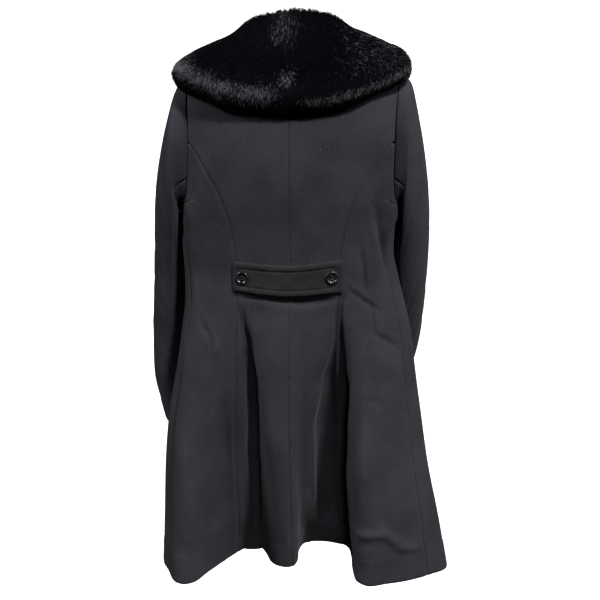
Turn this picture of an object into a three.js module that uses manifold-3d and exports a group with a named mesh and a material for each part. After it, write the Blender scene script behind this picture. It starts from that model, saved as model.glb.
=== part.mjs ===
import * as THREE from 'three';
import ManifoldModule from 'manifold-3d';

// Black wool coat with a large fur collar and a half belt on the back of the waist.
// It is filled out as when worn, with nothing inside. Sizes are in millimetres.
// Z is up, the back of the coat looks to +Y and the wearer's left is +X.
// The origin is the middle of the neck opening, level with the top of the shoulder seams.

// Cloth and sewing
const WALL = 2.4;
const SEAM_GAP = 0.3;

// Levels down the coat, measured from the neck
const NECK = 0;
const SHOULDER_TIP = -50;
const ARMHOLE_BOTTOM = -264;
const ARMHOLE_MIDDLE = (SHOULDER_TIP + ARMHOLE_BOTTOM) / 2;
const ARMHOLE_REACH = (SHOULDER_TIP - ARMHOLE_BOTTOM) / 2;
const HEM = -948;
const SIDE_PANEL_TOP = -162;

// Counts of steps in the grids
const SHOULDER_STEPS = 3;
const ARMHOLE_STEPS = 10;
const SKIRT_STEPS = 14;
const WAIST_LEVELS = [-264, -303, -334, -356, -374, -392, -410];
const SKIRT_TOP = -428;
const COLUMNS = { centre: 7, side: 8, front: 6 };

// The body is a stack of rounded sections. Half widths go to the wearer's left and right,
// depths go to the back and the front. The z columns hold a section's real height at the
// back, side and front, as the neck and the hem are not level.
const SECTIONS = [
  { level: 0, left: 75, right: 75, back: 56, front: 62, backZ: -18, sideZ: 0, frontZ: -96 },
  { level: -50, left: 190, right: 190, back: 78, front: 84, backZ: -66, sideZ: -48, frontZ: -122 },
  { level: -100, left: 203, right: 199, back: 89, front: 100, backZ: -104, sideZ: -99, frontZ: -146 },
  { level: -160, left: 205, right: 200, back: 94, front: 113, backZ: -160, sideZ: -160, frontZ: -176 },
  { level: -210, left: 205, right: 196, back: 92, front: 118, backZ: -210, sideZ: -210, frontZ: -216 },
  { level: -264, left: 204, right: 189, back: 87, front: 115, backZ: -264, sideZ: -264, frontZ: -266 },
  { level: -303, left: 203, right: 182, back: 81, front: 107, backZ: -303, sideZ: -303, frontZ: -303 },
  { level: -347, left: 202, right: 179, back: 76, front: 96, backZ: -347, sideZ: -347, frontZ: -347 },
  { level: -392, left: 200, right: 187, back: 73, front: 88, backZ: -392, sideZ: -392, frontZ: -392 },
  { level: -437, left: 201, right: 198, back: 77, front: 91, backZ: -437, sideZ: -437, frontZ: -437 },
  { level: -492, left: 208, right: 211, back: 85, front: 101, backZ: -492, sideZ: -492, frontZ: -493 },
  { level: -566, left: 219, right: 222, back: 93, front: 113, backZ: -566, sideZ: -566, frontZ: -569 },
  { level: -650, left: 233, right: 236, back: 93, front: 121, backZ: -650, sideZ: -651, frontZ: -656 },
  { level: -735, left: 241, right: 250, back: 88, front: 126, backZ: -735, sideZ: -736, frontZ: -745 },
  { level: -851, left: 247, right: 274, back: 74, front: 131, backZ: -851, sideZ: -852, frontZ: -867 },
  { level: -948, left: 252, right: 291, back: 60, front: 134, backZ: -948, sideZ: -950, frontZ: -972 },
];

// Power of the rounded section: 2 is an ellipse, more is squarer
const SECTION_POWER = 2.1;

// Seam places, as degrees round the section from the middle of the back
const SEAMS = [
  { level: -157, princessLeft: 61.6, princessRight: 61.6, side: 90 },
  { level: -172, princessLeft: 55, princessRight: 53.5, side: 90 },
  { level: -184, princessLeft: 50.7, princessRight: 49.8, side: 90 },
  { level: -211, princessLeft: 43.5, princessRight: 42.6, side: 90 },
  { level: -237, princessLeft: 37.7, princessRight: 38.2, side: 90 },
  { level: -264, princessLeft: 33.6, princessRight: 34.3, side: 90 },
  { level: -303, princessLeft: 29.6, princessRight: 30.3, side: 78 },
  { level: -347, princessLeft: 27.6, princessRight: 28.2, side: 70 },
  { level: -424, princessLeft: 26.8, princessRight: 24.6, side: 66 },
  { level: -650, princessLeft: 24.3, princessRight: 20, side: 65 },
  { level: -948, princessLeft: 25, princessRight: 18, side: 64 },
];

// The armhole takes this share out of the half width, behind and in front, and a rounder
// power than a circle's squares its ends
const ARMHOLE_CUT = { back: 0.115, front: 0.15 };
const ARMHOLE_POWER = 0.8;

// The hem seen from above, from the left side seam round the back to the right side seam
// and on round the front. A row with a seam fixes that seam on the line.
const HEM_LINE = [
  { seam: 2, x: 228, y: 64 },
  { x: 209, y: 97 },
  { x: 190, y: 105 },
  { x: 172, y: 94 },
  { x: 156, y: 56 },
  { x: 136, y: 12 },
  { seam: 1, x: 116, y: -30 },
  { x: 98, y: -57 },
  { x: 80, y: -64 },
  { x: 61, y: -36 },
  { x: 43, y: 6 },
  { x: 25, y: 21 },
  { seam: 0, x: 4, y: 20 },
  { x: -4, y: 0 },
  { x: -3, y: -48 },
  { x: -12, y: -84 },
  { x: -32, y: -94 },
  { x: -54, y: -96 },
  { seam: -1, x: -76, y: -90 },
  { x: -97, y: -72 },
  { x: -106, y: -30 },
  { x: -111, y: 28 },
  { x: -121, y: 66 },
  { x: -142, y: 80 },
  { x: -174, y: 66 },
  { x: -212, y: 50 },
  { seam: -2, x: -250, y: 27 },
  { x: -288, y: -8 },
  { x: -282, y: -52 },
  { x: -246, y: -92 },
  { x: -200, y: -106 },
  { x: -150, y: -98 },
  { x: -98, y: -100 },
  { x: -50, y: -128 },
  { seam: -4, x: 0, y: -138 },
  { x: 50, y: -134 },
  { x: 96, y: -104 },
  { x: 142, y: -104 },
  { x: 188, y: -108 },
  { x: 226, y: -80 },
  { x: 249, y: -34 },
  { x: 252, y: 14 },
  { seam: -6, x: 228, y: 64 },
];

// The skirt's folds start at this level and deepen towards the hem
const FOLD_TOP = -426;
const FOLD_POWER = 1.22;

// Fall of the front hem towards the wearer's left, per millimetre across
const FRONT_HEM_FALL = 0.1;

// Front closing: the right front laps over the left one
const LAP = 28;
const LAP_TURN = 16;
const LAP_SINK = WALL + 1.6;

// Sleeves, a row for each ring below the armhole. The outer and inner lines are given across
// and in height, forward is how far the ring's middle lies before the shoulder seam, and
// deep is its half size from front to back.
const SLEEVES = {
  left: [
    { outX: 201, outZ: -51, inX: 209, inZ: -268, forward: 2, deep: 56 },
    { outX: 211, outZ: -62, inX: 209, inZ: -277, forward: 4, deep: 61 },
    { outX: 220, outZ: -91, inX: 208, inZ: -288, forward: 8, deep: 63 },
    { outX: 234, outZ: -135, inX: 207, inZ: -303, forward: 14, deep: 63 },
    { outX: 247, outZ: -188, inX: 206, inZ: -322, forward: 22, deep: 61 },
    { outX: 258, outZ: -243, inX: 206, inZ: -345, forward: 32, deep: 59 },
    { outX: 265, outZ: -300, inX: 206, inZ: -374, forward: 43, deep: 57 },
    { outX: 271, outZ: -358, inX: 207, inZ: -408, forward: 53, deep: 55 },
    { outX: 276, outZ: -416, inX: 209, inZ: -446, forward: 61, deep: 53 },
    { outX: 281, outZ: -476, inX: 210, inZ: -492, forward: 70, deep: 51 },
    { outX: 285, outZ: -538, inX: 215, inZ: -544, forward: 80, deep: 50 },
    { outX: 286, outZ: -600, inX: 217, inZ: -600, forward: 90, deep: 49 },
    { outX: 278, outZ: -648, inX: 212, inZ: -645, forward: 98, deep: 48 },
    { outX: 268, outZ: -694, inX: 202, inZ: -690, forward: 104, deep: 48 },
  ],
  right: [
    { outX: 201, outZ: -51, inX: 193, inZ: -268, forward: 2, deep: 56 },
    { outX: 209, outZ: -64, inX: 189.5, inZ: -277, forward: 4, deep: 60 },
    { outX: 214, outZ: -94, inX: 187.5, inZ: -288, forward: 8, deep: 62 },
    { outX: 224, outZ: -136, inX: 184.5, inZ: -303, forward: 14, deep: 62 },
    { outX: 232, outZ: -188, inX: 180, inZ: -322, forward: 22, deep: 60 },
    { outX: 239, outZ: -242, inX: 176, inZ: -345, forward: 32, deep: 58 },
    { outX: 243, outZ: -298, inX: 171, inZ: -374, forward: 44, deep: 56 },
    { outX: 244, outZ: -354, inX: 169, inZ: -404, forward: 56, deep: 54 },
    { outX: 243, outZ: -406, inX: 170, inZ: -436, forward: 68, deep: 53 },
    { outX: 241, outZ: -456, inX: 170, inZ: -470, forward: 84, deep: 52 },
    { outX: 237, outZ: -506, inX: 170, inZ: -510, forward: 104, deep: 50 },
    { outX: 228, outZ: -556, inX: 160, inZ: -552, forward: 128, deep: 48 },
    { outX: 213, outZ: -604, inX: 147, inZ: -594, forward: 156, deep: 47 },
    { outX: 194, outZ: -650, inX: 130, inZ: -636, forward: 184, deep: 46 },
  ],
};
const SLEEVE_CLEAR = 2;

// The front of a sleeve's inner side lies this much further round the body, between the
// armhole and the elbow
const SLEEVE_HUG = { deep: 26, start: 20, end: -430, over: 70 };
const SLEEVE_SEAMS = { back: 7, front: 14 };

// Fur collar, a row for each angle from the middle of the back. Edge is the coat's level under
// the outer edge, lift is the underside's height over the coat, reach carries the edge out past
// the coat and pile is the fur's height over the cloth, deeper towards the neck. The roll is
// the collar's top line, out from the neck and in height.
const COLLAR = [
  { angle: 0, edge: -107, lift: 1.2, reach: 0, pile: 24, rollOut: 7, rollZ: 53 },
  { angle: 25, edge: -103, lift: 1.5, reach: 0.5, pile: 25, rollOut: 7.5, rollZ: 52 },
  { angle: 45, edge: -82, lift: 1.8, reach: 1, pile: 26, rollOut: 8, rollZ: 51 },
  { angle: 70, edge: -66, lift: 2.6, reach: 3, pile: 29, rollOut: 8, rollZ: 46 },
  { angle: 90, edge: -52, lift: 3, reach: 4, pile: 30, rollOut: 8, rollZ: 38 },
  { angle: 108, edge: -56, lift: 3, reach: 4, pile: 28, rollOut: 8, rollZ: 25 },
  { angle: 119, edge: -70, lift: 3, reach: 2, pile: 27, rollOut: 8, rollZ: 11 },
  { angle: 130, edge: -118, lift: 2.8, reach: 0, pile: 26, rollOut: 8, rollZ: -6 },
  { angle: 145, edge: -186, lift: 2.8, reach: 0, pile: 25, rollOut: 8, rollZ: -30 },
  { angle: 160, edge: -214, lift: 2.8, reach: 0, pile: 24, rollOut: 6, rollZ: -50 },
  { angle: 175, edge: -206, lift: 2.8, reach: 0, pile: 22, rollOut: 5, rollZ: -64 },
];
const COLLAR_ANGLES = [
  0, 12.9, 25.7, 38.6, 51.4, 64.3, 77.1, 90,
  99.2, 108.4, 117.6, 126.8, 136, 145.2, 159.2, 175,
];

// Shares of the way from the neck to the outer edge, over the fur and under the cloth
const COLLAR_OVER = [0.22, 0.42, 0.62, 0.82];
const COLLAR_UNDER = [0.75, 0.5, 0.28, 0.1];

// Inside of the stand, out from the neck line and as a share of the roll's height
const COLLAR_STAND = [
  { out: -7, rise: 0 },
  { out: -9, rise: 0.4 },
  { out: -6, rise: 0.8 },
];
const COLLAR_FOOT = 2;
const ROLL_ROUND = { inside: -3, outside: 9, fall: 3 };
const NECK_PILE = 0.45;
const EDGE_PILE = 0.6;
const COLLAR_SEAT = 0.4;
const FRONT_SEAT = { extra: 2, from: 90, over: 45 };
const SHOULDER_NARROW = 16;

// The left half lies a little flatter and narrower than the right one, whose outer edge is
// shorter over the shoulder
const COLLAR_HALVES = {
  left: { sign: 1, pile: 0.84, roll: 0.88, reach: -3, shorter: 0 },
  right: { sign: -1, pile: 1, roll: 1, reach: 0, shorter: 12 },
};

// Half belt on the back of the waist, a row for each end and its middle
const BELT = [
  { x: -91, top: -358.5, bottom: -416 },
  { x: 6, top: -369, bottom: -424 },
  { x: 101, top: -363, bottom: -416 },
];
const BELT_STEPS = 8;
const BELT_GAP = 0.5;
const BELT_INSETS = [0, 2.5, 7, 11, 16];

// Height of the belt's face over its back, by distance in from the edge: it rises to a
// padded border, dips at the stitching and is flat inside it
const BELT_FACE = [
  { inset: 0, height: 2.4 },
  { inset: 2.5, height: 4.8 },
  { inset: 7, height: 5.4 },
  { inset: 11, height: 4.2 },
  { inset: 16, height: 4.8 },
  { inset: 40, height: 4.8 },
];

// Buttons, as places across the coat and down it
const BELT_BUTTONS = { left: { x: 82, z: -391 }, right: { x: -72, z: -388.5 } };
const FRONT_BUTTONS = [-262, -366, -470, -574];
const BUTTON_FACE = [
  [0, 0], [10.2, 0], [11, 0.9], [11, 2.6], [9.9, 3.6], [8.6, 3.4], [7.7, 2.4], [0, 2.2],
];
const BUTTON_SEAT = 0.6;
const FRONT_BUTTON_SEAT = 0.7;
const BUTTON_HOLE = { radius: 1.1, offset: 2.1, sides: 6, through: 10 };
const BUTTON_SIDES = { belt: 18, front: 12 };

const DEG = Math.PI / 180;
const CLOTH = { color: 0x2a2a2e, roughness: 0.95, metalness: 0 };
const BELT_CLOTH = { color: 0x29292b, roughness: 0.92, metalness: 0 };
const FUR = { color: 0x15161a, roughness: 0.8, metalness: 0 };
const HORN = { color: 0x0c0c0e, roughness: 0.25, metalness: 0 };

// A smooth track through the rows of a table, with no overshoot between rows
function track(rows, keyName, valueName) {
  const sorted = [...rows].sort((a, b) => a[keyName] - b[keyName]);
  const key = sorted.map((row) => row[keyName]);
  const value = sorted.map((row) => row[valueName]);
  const last = key.length - 1;
  const rise = [];
  for (let i = 0; i < last; i += 1) rise.push((value[i + 1] - value[i]) / (key[i + 1] - key[i]));
  const slope = value.map((_, i) => {
    if (i === 0) return rise[0];
    if (i === last) return rise[last - 1];
    if (rise[i - 1] * rise[i] <= 0) return 0;
    return (2 * rise[i - 1] * rise[i]) / (rise[i - 1] + rise[i]);
  });
  return (wanted) => {
    const at = Math.min(Math.max(wanted, key[0]), key[last]);
    let i = 0;
    while (i < last - 1 && key[i + 1] < at) i += 1;
    const span = key[i + 1] - key[i];
    const t = (at - key[i]) / span;
    const hold = (1 + 2 * t) * (1 - t) ** 2 * value[i] + t * t * (3 - 2 * t) * value[i + 1];
    return hold + span * (t * (1 - t) ** 2 * slope[i] - t * t * (1 - t) * slope[i + 1]);
  };
}

function tracks(rows, keyName) {
  const names = Object.keys(rows[0]).filter((name) => name !== keyName);
  return Object.fromEntries(names.map((name) => [name, track(rows, keyName, name)]));
}

const body = tracks(SECTIONS, 'level');
const seams = tracks(SEAMS, 'level');

function ease(t) {
  const held = Math.min(Math.max(t, 0), 1);
  return held * held * (3 - 2 * held);
}

function power(value, exponent) {
  return Math.sign(value) * Math.abs(value) ** exponent;
}

// Point of the plain body, before folds, at an angle round the section
function plainPoint(angle, level) {
  const sine = Math.sin(angle);
  const cosine = Math.cos(angle);
  const width = sine >= 0 ? body.left(level) : body.right(level);
  const depth = cosine >= 0 ? body.back(level) : body.front(level);
  const endZ = cosine >= 0 ? body.backZ(level) : body.frontZ(level);
  const sideZ = body.sideZ(level);
  const x = width * power(sine, 2 / SECTION_POWER);
  const y = depth * power(cosine, 2 / SECTION_POWER);
  const fall = cosine < 0 ? FRONT_HEM_FALL * x * cosine * cosine * (level / HEM) ** 4 : 0;
  return new THREE.Vector3(x, y, sideZ + (endZ - sideZ) * cosine * cosine - fall);
}

// Angle of the armhole's edge at a level
function armholeAngle(level, cut) {
  const turn = (level - ARMHOLE_MIDDLE) / ARMHOLE_REACH;
  const sine = Math.sqrt(Math.max(1 - turn * turn, 0));
  return Math.asin((1 - cut * sine ** ARMHOLE_POWER) ** (SECTION_POWER / 2));
}

function inArmhole(level) {
  return level < SHOULDER_TIP && level > ARMHOLE_BOTTOM;
}

// Seam places counted round the coat: 0 middle of the back, 1 left princess seam, 2 left
// side seam or armhole, 4 middle of the front. Minus signs are the wearer's right.
function seamAngle(seam, level) {
  const side = Math.sign(seam);
  const count = Math.abs(seam);
  if (count === 0) return 0;
  if (count === 4) return side * Math.PI;
  if (level >= SHOULDER_TIP) return side * 90 * DEG;
  if (count === 2.5) {
    if (inArmhole(level)) return side * (Math.PI - armholeAngle(level, ARMHOLE_CUT.front));
    return side * seams.side(level) * DEG;
  }
  if (count === 2 || level > ARMHOLE_MIDDLE) {
    if (inArmhole(level)) return side * armholeAngle(level, ARMHOLE_CUT.back);
    return side * seams.side(level) * DEG;
  }
  return side * (side > 0 ? seams.princessLeft(level) : seams.princessRight(level)) * DEG;
}

// The hem line as points spaced by length between its seams
const hemCurve = new THREE.CatmullRomCurve3(
  HEM_LINE.map((row) => new THREE.Vector3(row.x, row.y, 0)), false, 'centripetal');
const HEM_SAMPLES = 1200;
const hemPoints = hemCurve.getPoints(HEM_SAMPLES);
const hemStops = HEM_LINE
  .map((row, i) => ({ seam: row.seam, at: i * HEM_SAMPLES / (HEM_LINE.length - 1) }))
  .filter((row) => row.seam !== undefined);
const hemLength = [0];
for (let i = 1; i <= HEM_SAMPLES; i += 1) {
  hemLength.push(hemLength[i - 1] + hemPoints[i].distanceTo(hemPoints[i - 1]));
}

// Hem point at a place counted like the seams, from 2 at the left side down to -6
function hemPoint(place) {
  let i = 0;
  while (i < hemStops.length - 2 && place < hemStops[i + 1].seam) i += 1;
  const from = hemStops[i];
  const to = hemStops[i + 1];
  const share = (from.seam - place) / (from.seam - to.seam);
  const start = hemLength[Math.round(from.at)];
  const wanted = start + share * (hemLength[Math.round(to.at)] - start);
  let low = 0;
  let high = HEM_SAMPLES;
  while (high - low > 1) {
    const middle = (low + high) >> 1;
    if (hemLength[middle] < wanted) low = middle;
    else high = middle;
  }
  const t = (wanted - hemLength[low]) / (hemLength[high] - hemLength[low]);
  return hemPoints[low].clone().lerp(hemPoints[high], Math.min(Math.max(t, 0), 1));
}

// Angle round the section for a place between seams. Places past 2 count round the front
// to 4 at its middle. A place past 4 goes on over the middle of the front.
function placeAngle(place, level) {
  const side = place < 0 ? -1 : 1;
  const count = Math.abs(place);
  if (count > 2) {
    const from = seamAngle(2.5 * side, level);
    return from + (side * Math.PI - from) * (count - 2) / 2;
  }
  const base = Math.min(Math.floor(count), 1);
  const from = seamAngle(base * side, level);
  const to = seamAngle((base + 1) * side, level);
  return from + (to - from) * (count - base);
}

// Point of the coat's outer face at a place round it and a level down it
function coatPoint(place, level) {
  const point = plainPoint(placeAngle(place, level), level);
  if (level >= FOLD_TOP) return point;
  const grown = ((FOLD_TOP - level) / (FOLD_TOP - HEM)) ** FOLD_POWER;
  const round = place > 2 ? place - 8 : place;
  const hem = hemPoint(round);
  const plain = plainPoint(placeAngle(place, HEM), HEM);
  point.x += (hem.x - plain.x) * grown;
  point.y += (hem.y - plain.y) * grown;
  return point;
}

// Outward direction of the coat at a place and level. The points taken beside the place
// stay on their own side of the armhole.
const PLACE_STEP = 0.03;
const FRONT_EDGE = 2.0001;
const FRONT_START = 2.001;
const LEVEL_STEP = 2;
const ANGLE_STEP = 0.02;
function coatNormal(place, level) {
  const held = Math.min(Math.max(level, HEM + LEVEL_STEP), -LEVEL_STEP);
  let low = place - PLACE_STEP;
  let high = place + PLACE_STEP;
  if (inArmhole(level)) {
    const side = Math.sign(place);
    const front = Math.abs(place) > 2;
    const edge = side * (front ? FRONT_EDGE : 2);
    if (front === (side > 0)) low = Math.max(low, edge);
    if (front !== (side > 0)) high = Math.min(high, edge);
    if (!front && side > 0) high = Math.min(high, edge);
  }
  const across = coatPoint(high, held).sub(coatPoint(low, held));
  const up = coatPoint(place, held + LEVEL_STEP).sub(coatPoint(place, held - LEVEL_STEP));
  return across.cross(up).normalize().negate();
}

// A closed wall between an outer and an inner grid of points, given as rows of columns
function wallGeometry(outer, inner) {
  const rows = outer.length;
  const columns = outer[0].length;
  const positions = [];
  for (const grid of [outer, inner]) {
    for (const row of grid) for (const point of row) positions.push(point.x, point.y, point.z);
  }
  const index = [];
  const shift = rows * columns;
  const outside = (i, j) => i * columns + j;
  const inside = (i, j) => shift + outside(i, j);
  const quad = (a, b, c, d) => index.push(a, b, c, a, c, d);
  for (let i = 0; i < rows - 1; i += 1) {
    for (let j = 0; j < columns - 1; j += 1) {
      quad(outside(i, j), outside(i, j + 1), outside(i + 1, j + 1), outside(i + 1, j));
      quad(inside(i, j), inside(i + 1, j), inside(i + 1, j + 1), inside(i, j + 1));
    }
    quad(outside(i, 0), outside(i + 1, 0), inside(i + 1, 0), inside(i, 0));
    const end = columns - 1;
    quad(outside(i, end), inside(i, end), inside(i + 1, end), outside(i + 1, end));
  }
  for (let j = 0; j < columns - 1; j += 1) {
    const end = rows - 1;
    quad(outside(0, j + 1), outside(0, j), inside(0, j), inside(0, j + 1));
    quad(outside(end, j), outside(end, j + 1), inside(end, j + 1), inside(end, j));
  }
  const geometry = new THREE.BufferGeometry();
  geometry.setAttribute('position', new THREE.Float32BufferAttribute(positions, 3));
  geometry.setIndex(index);
  return faceOut(geometry);
}

// Turns the faces over where the closed geometry has them facing in
function faceOut(geometry) {
  const position = geometry.getAttribute('position');
  const index = geometry.getIndex().array;
  const corner = [new THREE.Vector3(), new THREE.Vector3(), new THREE.Vector3()];
  let volume = 0;
  for (let i = 0; i < index.length; i += 3) {
    corner.forEach((point, k) => point.fromBufferAttribute(position, index[i + k]));
    volume += corner[0].dot(corner[1].clone().cross(corner[2]));
  }
  if (volume < 0) {
    for (let i = 0; i < index.length; i += 3) {
      [index[i + 1], index[i + 2]] = [index[i + 2], index[i + 1]];
    }
  }
  geometry.computeVertexNormals();
  return geometry;
}

const coat = new THREE.Group();
coat.name = 'wool_coat';

function addMesh(name, geometry, finish) {
  const mesh = new THREE.Mesh(geometry, new THREE.MeshStandardMaterial(finish));
  mesh.name = name;
  coat.add(mesh);
}

// Levels of the grid rows: shoulder, armhole, waist and then down to the hem
const LEVELS = [];
for (let i = 0; i < SHOULDER_STEPS; i += 1) {
  LEVELS.push(NECK + i * (SHOULDER_TIP - NECK) / SHOULDER_STEPS);
}
for (let i = 0; i < ARMHOLE_STEPS; i += 1) {
  LEVELS.push(ARMHOLE_MIDDLE + ARMHOLE_REACH * Math.cos(i * Math.PI / ARMHOLE_STEPS));
}
LEVELS.push(SIDE_PANEL_TOP, ...WAIST_LEVELS);
for (let i = 0; i <= SKIRT_STEPS; i += 1) {
  LEVELS.push(SKIRT_TOP + i * (HEM - SKIRT_TOP) / SKIRT_STEPS);
}
LEVELS.sort((a, b) => b - a);

// Both grids of a wall from its outer points and their outward directions
function wallFrom(points, normals) {
  const inner = points.map((row, i) => row.map(
    (point, j) => point.clone().addScaledVector(normals[i][j], -WALL)));
  return wallGeometry(points, inner);
}

// Back panels: grids between two seams, drawn in by half a seam gap at each
function backPanel(name, levels, columns, from, to) {
  const points = [];
  const normals = [];
  for (const level of levels) {
    const width = coatPoint(from, level).distanceTo(coatPoint(to, level));
    const draw = SEAM_GAP / 2 / width;
    const places = Array.from({ length: columns + 1 },
      (_, j) => from + (to - from) * (draw + (1 - 2 * draw) * j / columns));
    points.push(places.map((place) => coatPoint(place, level)));
    normals.push(places.map((place) => coatNormal(place, level)));
  }
  addMesh(name, wallFrom(points, normals), CLOTH);
}

for (const [side, sign] of [['left', 1], ['right', -1]]) {
  backPanel(`back_center_${side}`, LEVELS, COLUMNS.centre, 0, sign);
  const lower = LEVELS.filter((level) => level <= SIDE_PANEL_TOP);
  backPanel(`back_side_${side}`, lower, COLUMNS.side, sign, 2 * sign);
}

// Place on one front at a distance from the middle line, counted from 2 to 4
function frontPlace(sign, across, level) {
  const width = sign > 0 ? body.left(level) : body.right(level);
  const turn = Math.asin((across / width) ** (SECTION_POWER / 2));
  const start = Math.abs(seamAngle(2.5 * sign, level));
  return 4 - 2 * turn / (Math.PI - start);
}

// Fronts: from the side seam to the turn of the lap, then over the middle line to its edge
function frontPanel(name, sign) {
  const points = [];
  const normals = [];
  for (const level of LEVELS) {
    const turned = frontPlace(sign, LAP + LAP_TURN, level);
    const near = sign * frontPlace(sign, LAP, level);
    const far = -sign * frontPlace(-sign, LAP, level);
    const width = coatPoint(FRONT_START * sign, level).distanceTo(coatPoint(sign * turned, level));
    const start = FRONT_START + SEAM_GAP / 2 / width;
    const places = Array.from({ length: COLUMNS.front + 1 },
      (_, j) => sign * (start + (turned - start) * j / COLUMNS.front));
    const sinks = places.map(() => 0);
    for (const place of [near, sign * 4, far]) {
      places.push(place);
      sinks.push(sign > 0 ? LAP_SINK : 0);
    }
    const across = places.map((place) => coatNormal(place, level));
    normals.push(across);
    points.push(places.map(
      (place, j) => coatPoint(place, level).addScaledVector(across[j], -sinks[j])));
  }
  addMesh(name, wallFrom(points, normals), CLOTH);
}
frontPanel('front_left', 1);
frontPanel('front_right', -1);

// Half width of the plain body at a height and a depth, zero where the body isn't as deep
function bodyHalfWidth(sign, y, z) {
  const width = sign > 0 ? body.left(z) : body.right(z);
  const depth = y > 0 ? body.back(z) : body.front(z);
  const share = Math.min(Math.abs(y) / depth, 1);
  return width * (1 - share ** SECTION_POWER) ** (1 / SECTION_POWER);
}

// First ring of a sleeve: the armhole's edge, drawn into the hole by a seam gap, with the
// directions from the hole's middle
function armholeRing(sign) {
  const ring = [];
  for (let k = 0; k < 2 * ARMHOLE_STEPS; k += 1) {
    const turn = k * Math.PI / ARMHOLE_STEPS;
    const level = ARMHOLE_MIDDLE + ARMHOLE_REACH * Math.cos(turn);
    const place = sign * (k > ARMHOLE_STEPS ? FRONT_START : 2);
    ring.push(coatPoint(place, level).addScaledVector(coatNormal(place, level), SEAM_GAP));
  }
  const middle = new THREE.Vector3();
  ring.forEach((point) => middle.addScaledVector(point, 1 / ring.length));
  const outwards = ring.map((point) => point.clone().sub(middle).setX(0).normalize());
  ring.forEach((point, k) => point.addScaledVector(outwards[k], -SEAM_GAP));
  return { ring, outwards };
}

// How far a sleeve's inner front is drawn towards the body, most an eighth of a turn past
// the inner line
function hugDepth(turn, z) {
  const share = 2 * Math.max(-Math.cos(turn), 0) * Math.max(-Math.sin(turn), 0);
  const { deep, start, end, over } = SLEEVE_HUG;
  return deep * share * ease((ARMHOLE_BOTTOM - z) / start) * ease((z - end) / over);
}

// Rings of a sleeve, from the armhole's ring down to the cuff
function sleeveRings(rows, sign, firstRing) {
  const rings = [firstRing];
  rows.forEach((row, i) => {
    const next = rows[Math.min(i + 1, rows.length - 1)];
    const last = rows[Math.max(i - 1, 0)];
    const fall = (last.outZ + last.inZ - next.outZ - next.inZ) / 2;
    const lean = Math.atan2(next.forward - last.forward, fall);
    const halfX = sign * (row.outX - row.inX) / 2;
    const halfZ = (row.outZ - row.inZ) / 2;
    const middle = new THREE.Vector3(sign * row.inX + halfX, -row.forward, row.inZ + halfZ);
    const out = new THREE.Vector3(halfX, 0, halfZ);
    const behind = new THREE.Vector3(0, row.deep * Math.cos(lean), -row.deep * Math.sin(lean));
    const ring = [];
    for (let k = 0; k < 2 * ARMHOLE_STEPS; k += 1) {
      const turn = k * Math.PI / ARMHOLE_STEPS;
      const point = middle.clone().addScaledVector(out, Math.cos(turn));
      point.addScaledVector(behind, Math.sin(turn));
      if (point.z < ARMHOLE_BOTTOM) {
        const least = bodyHalfWidth(sign, point.y, point.z) + SLEEVE_CLEAR;
        point.x = sign * Math.max(sign * point.x - hugDepth(turn, point.z), least);
      }
      ring.push(point);
    }
    rings.push(ring);
  });
  return rings;
}

// Outward directions on a tube of rings
function tubeNormals(rings) {
  const count = rings[0].length;
  return rings.map((ring, i) => ring.map((point, k) => {
    const round = ring[(k + 1) % count].clone().sub(ring[(k + count - 1) % count]);
    const before = rings[Math.max(i - 1, 0)][k];
    const after = rings[Math.min(i + 1, rings.length - 1)][k];
    const normal = round.cross(after.clone().sub(before)).normalize();
    const middle = new THREE.Vector3();
    ring.forEach((other) => middle.addScaledVector(other, 1 / count));
    return normal.dot(point.clone().sub(middle)) < 0 ? normal.negate() : normal;
  }));
}

// One cut piece of a sleeve: the columns of the tube between two of its seams
function sleevePanel(name, rings, normals, from, to) {
  const count = rings[0].length;
  const pick = (grid) => grid.map((ring) => Array.from(
    { length: to - from + 1 }, (_, j) => ring[(from + j) % count].clone()));
  const points = pick(rings);
  for (const row of points) {
    const end = row.length - 1;
    const first = row[1].clone().sub(row[0]).setLength(SEAM_GAP / 2);
    const last = row[end - 1].clone().sub(row[end]).setLength(SEAM_GAP / 2);
    row[0].add(first);
    row[end].add(last);
  }
  addMesh(name, wallFrom(points, pick(normals)), CLOTH);
}

for (const [side, sign] of [['left', 1], ['right', -1]]) {
  const { ring, outwards } = armholeRing(sign);
  const rings = sleeveRings(SLEEVES[side], sign, ring);
  const normals = tubeNormals(rings);
  normals[0] = outwards;
  const { back, front } = SLEEVE_SEAMS;
  sleevePanel(`sleeve_top_${side}`, rings, normals, front, back + 2 * ARMHOLE_STEPS);
  sleevePanel(`sleeve_under_${side}`, rings, normals, back, front);
}

// A closed solid through sections that have the same number of points, its ends filled
function loftGeometry(sections) {
  const count = sections[0].length;
  const positions = sections.flat().flatMap((point) => [point.x, point.y, point.z]);
  const index = [];
  for (let i = 0; i < sections.length - 1; i += 1) {
    for (let k = 0; k < count; k += 1) {
      const a = i * count + k;
      const b = i * count + (k + 1) % count;
      index.push(a, b, b + count, a, b + count, a + count);
    }
  }
  const ends = [{ at: 0, alongRing: false }, { at: sections.length - 1, alongRing: true }];
  for (const { at, alongRing } of ends) {
    const flat = sections[at].map((point) => new THREE.Vector2(Math.hypot(point.x, point.y), point.z));
    const ringTurn = THREE.ShapeUtils.area(flat) > 0;
    for (const face of THREE.ShapeUtils.triangulateShape(flat, [])) {
      const faceTurn = THREE.ShapeUtils.area(face.map((k) => flat[k])) > 0;
      const kept = (faceTurn === ringTurn) === alongRing;
      const corners = face.map((k) => at * count + k);
      index.push(...(kept ? corners : corners.reverse()));
    }
  }
  const geometry = new THREE.BufferGeometry();
  geometry.setAttribute('position', new THREE.Float32BufferAttribute(positions, 3));
  geometry.setIndex(index);
  return faceOut(geometry);
}

const collar = tracks(COLLAR, 'angle');

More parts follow.
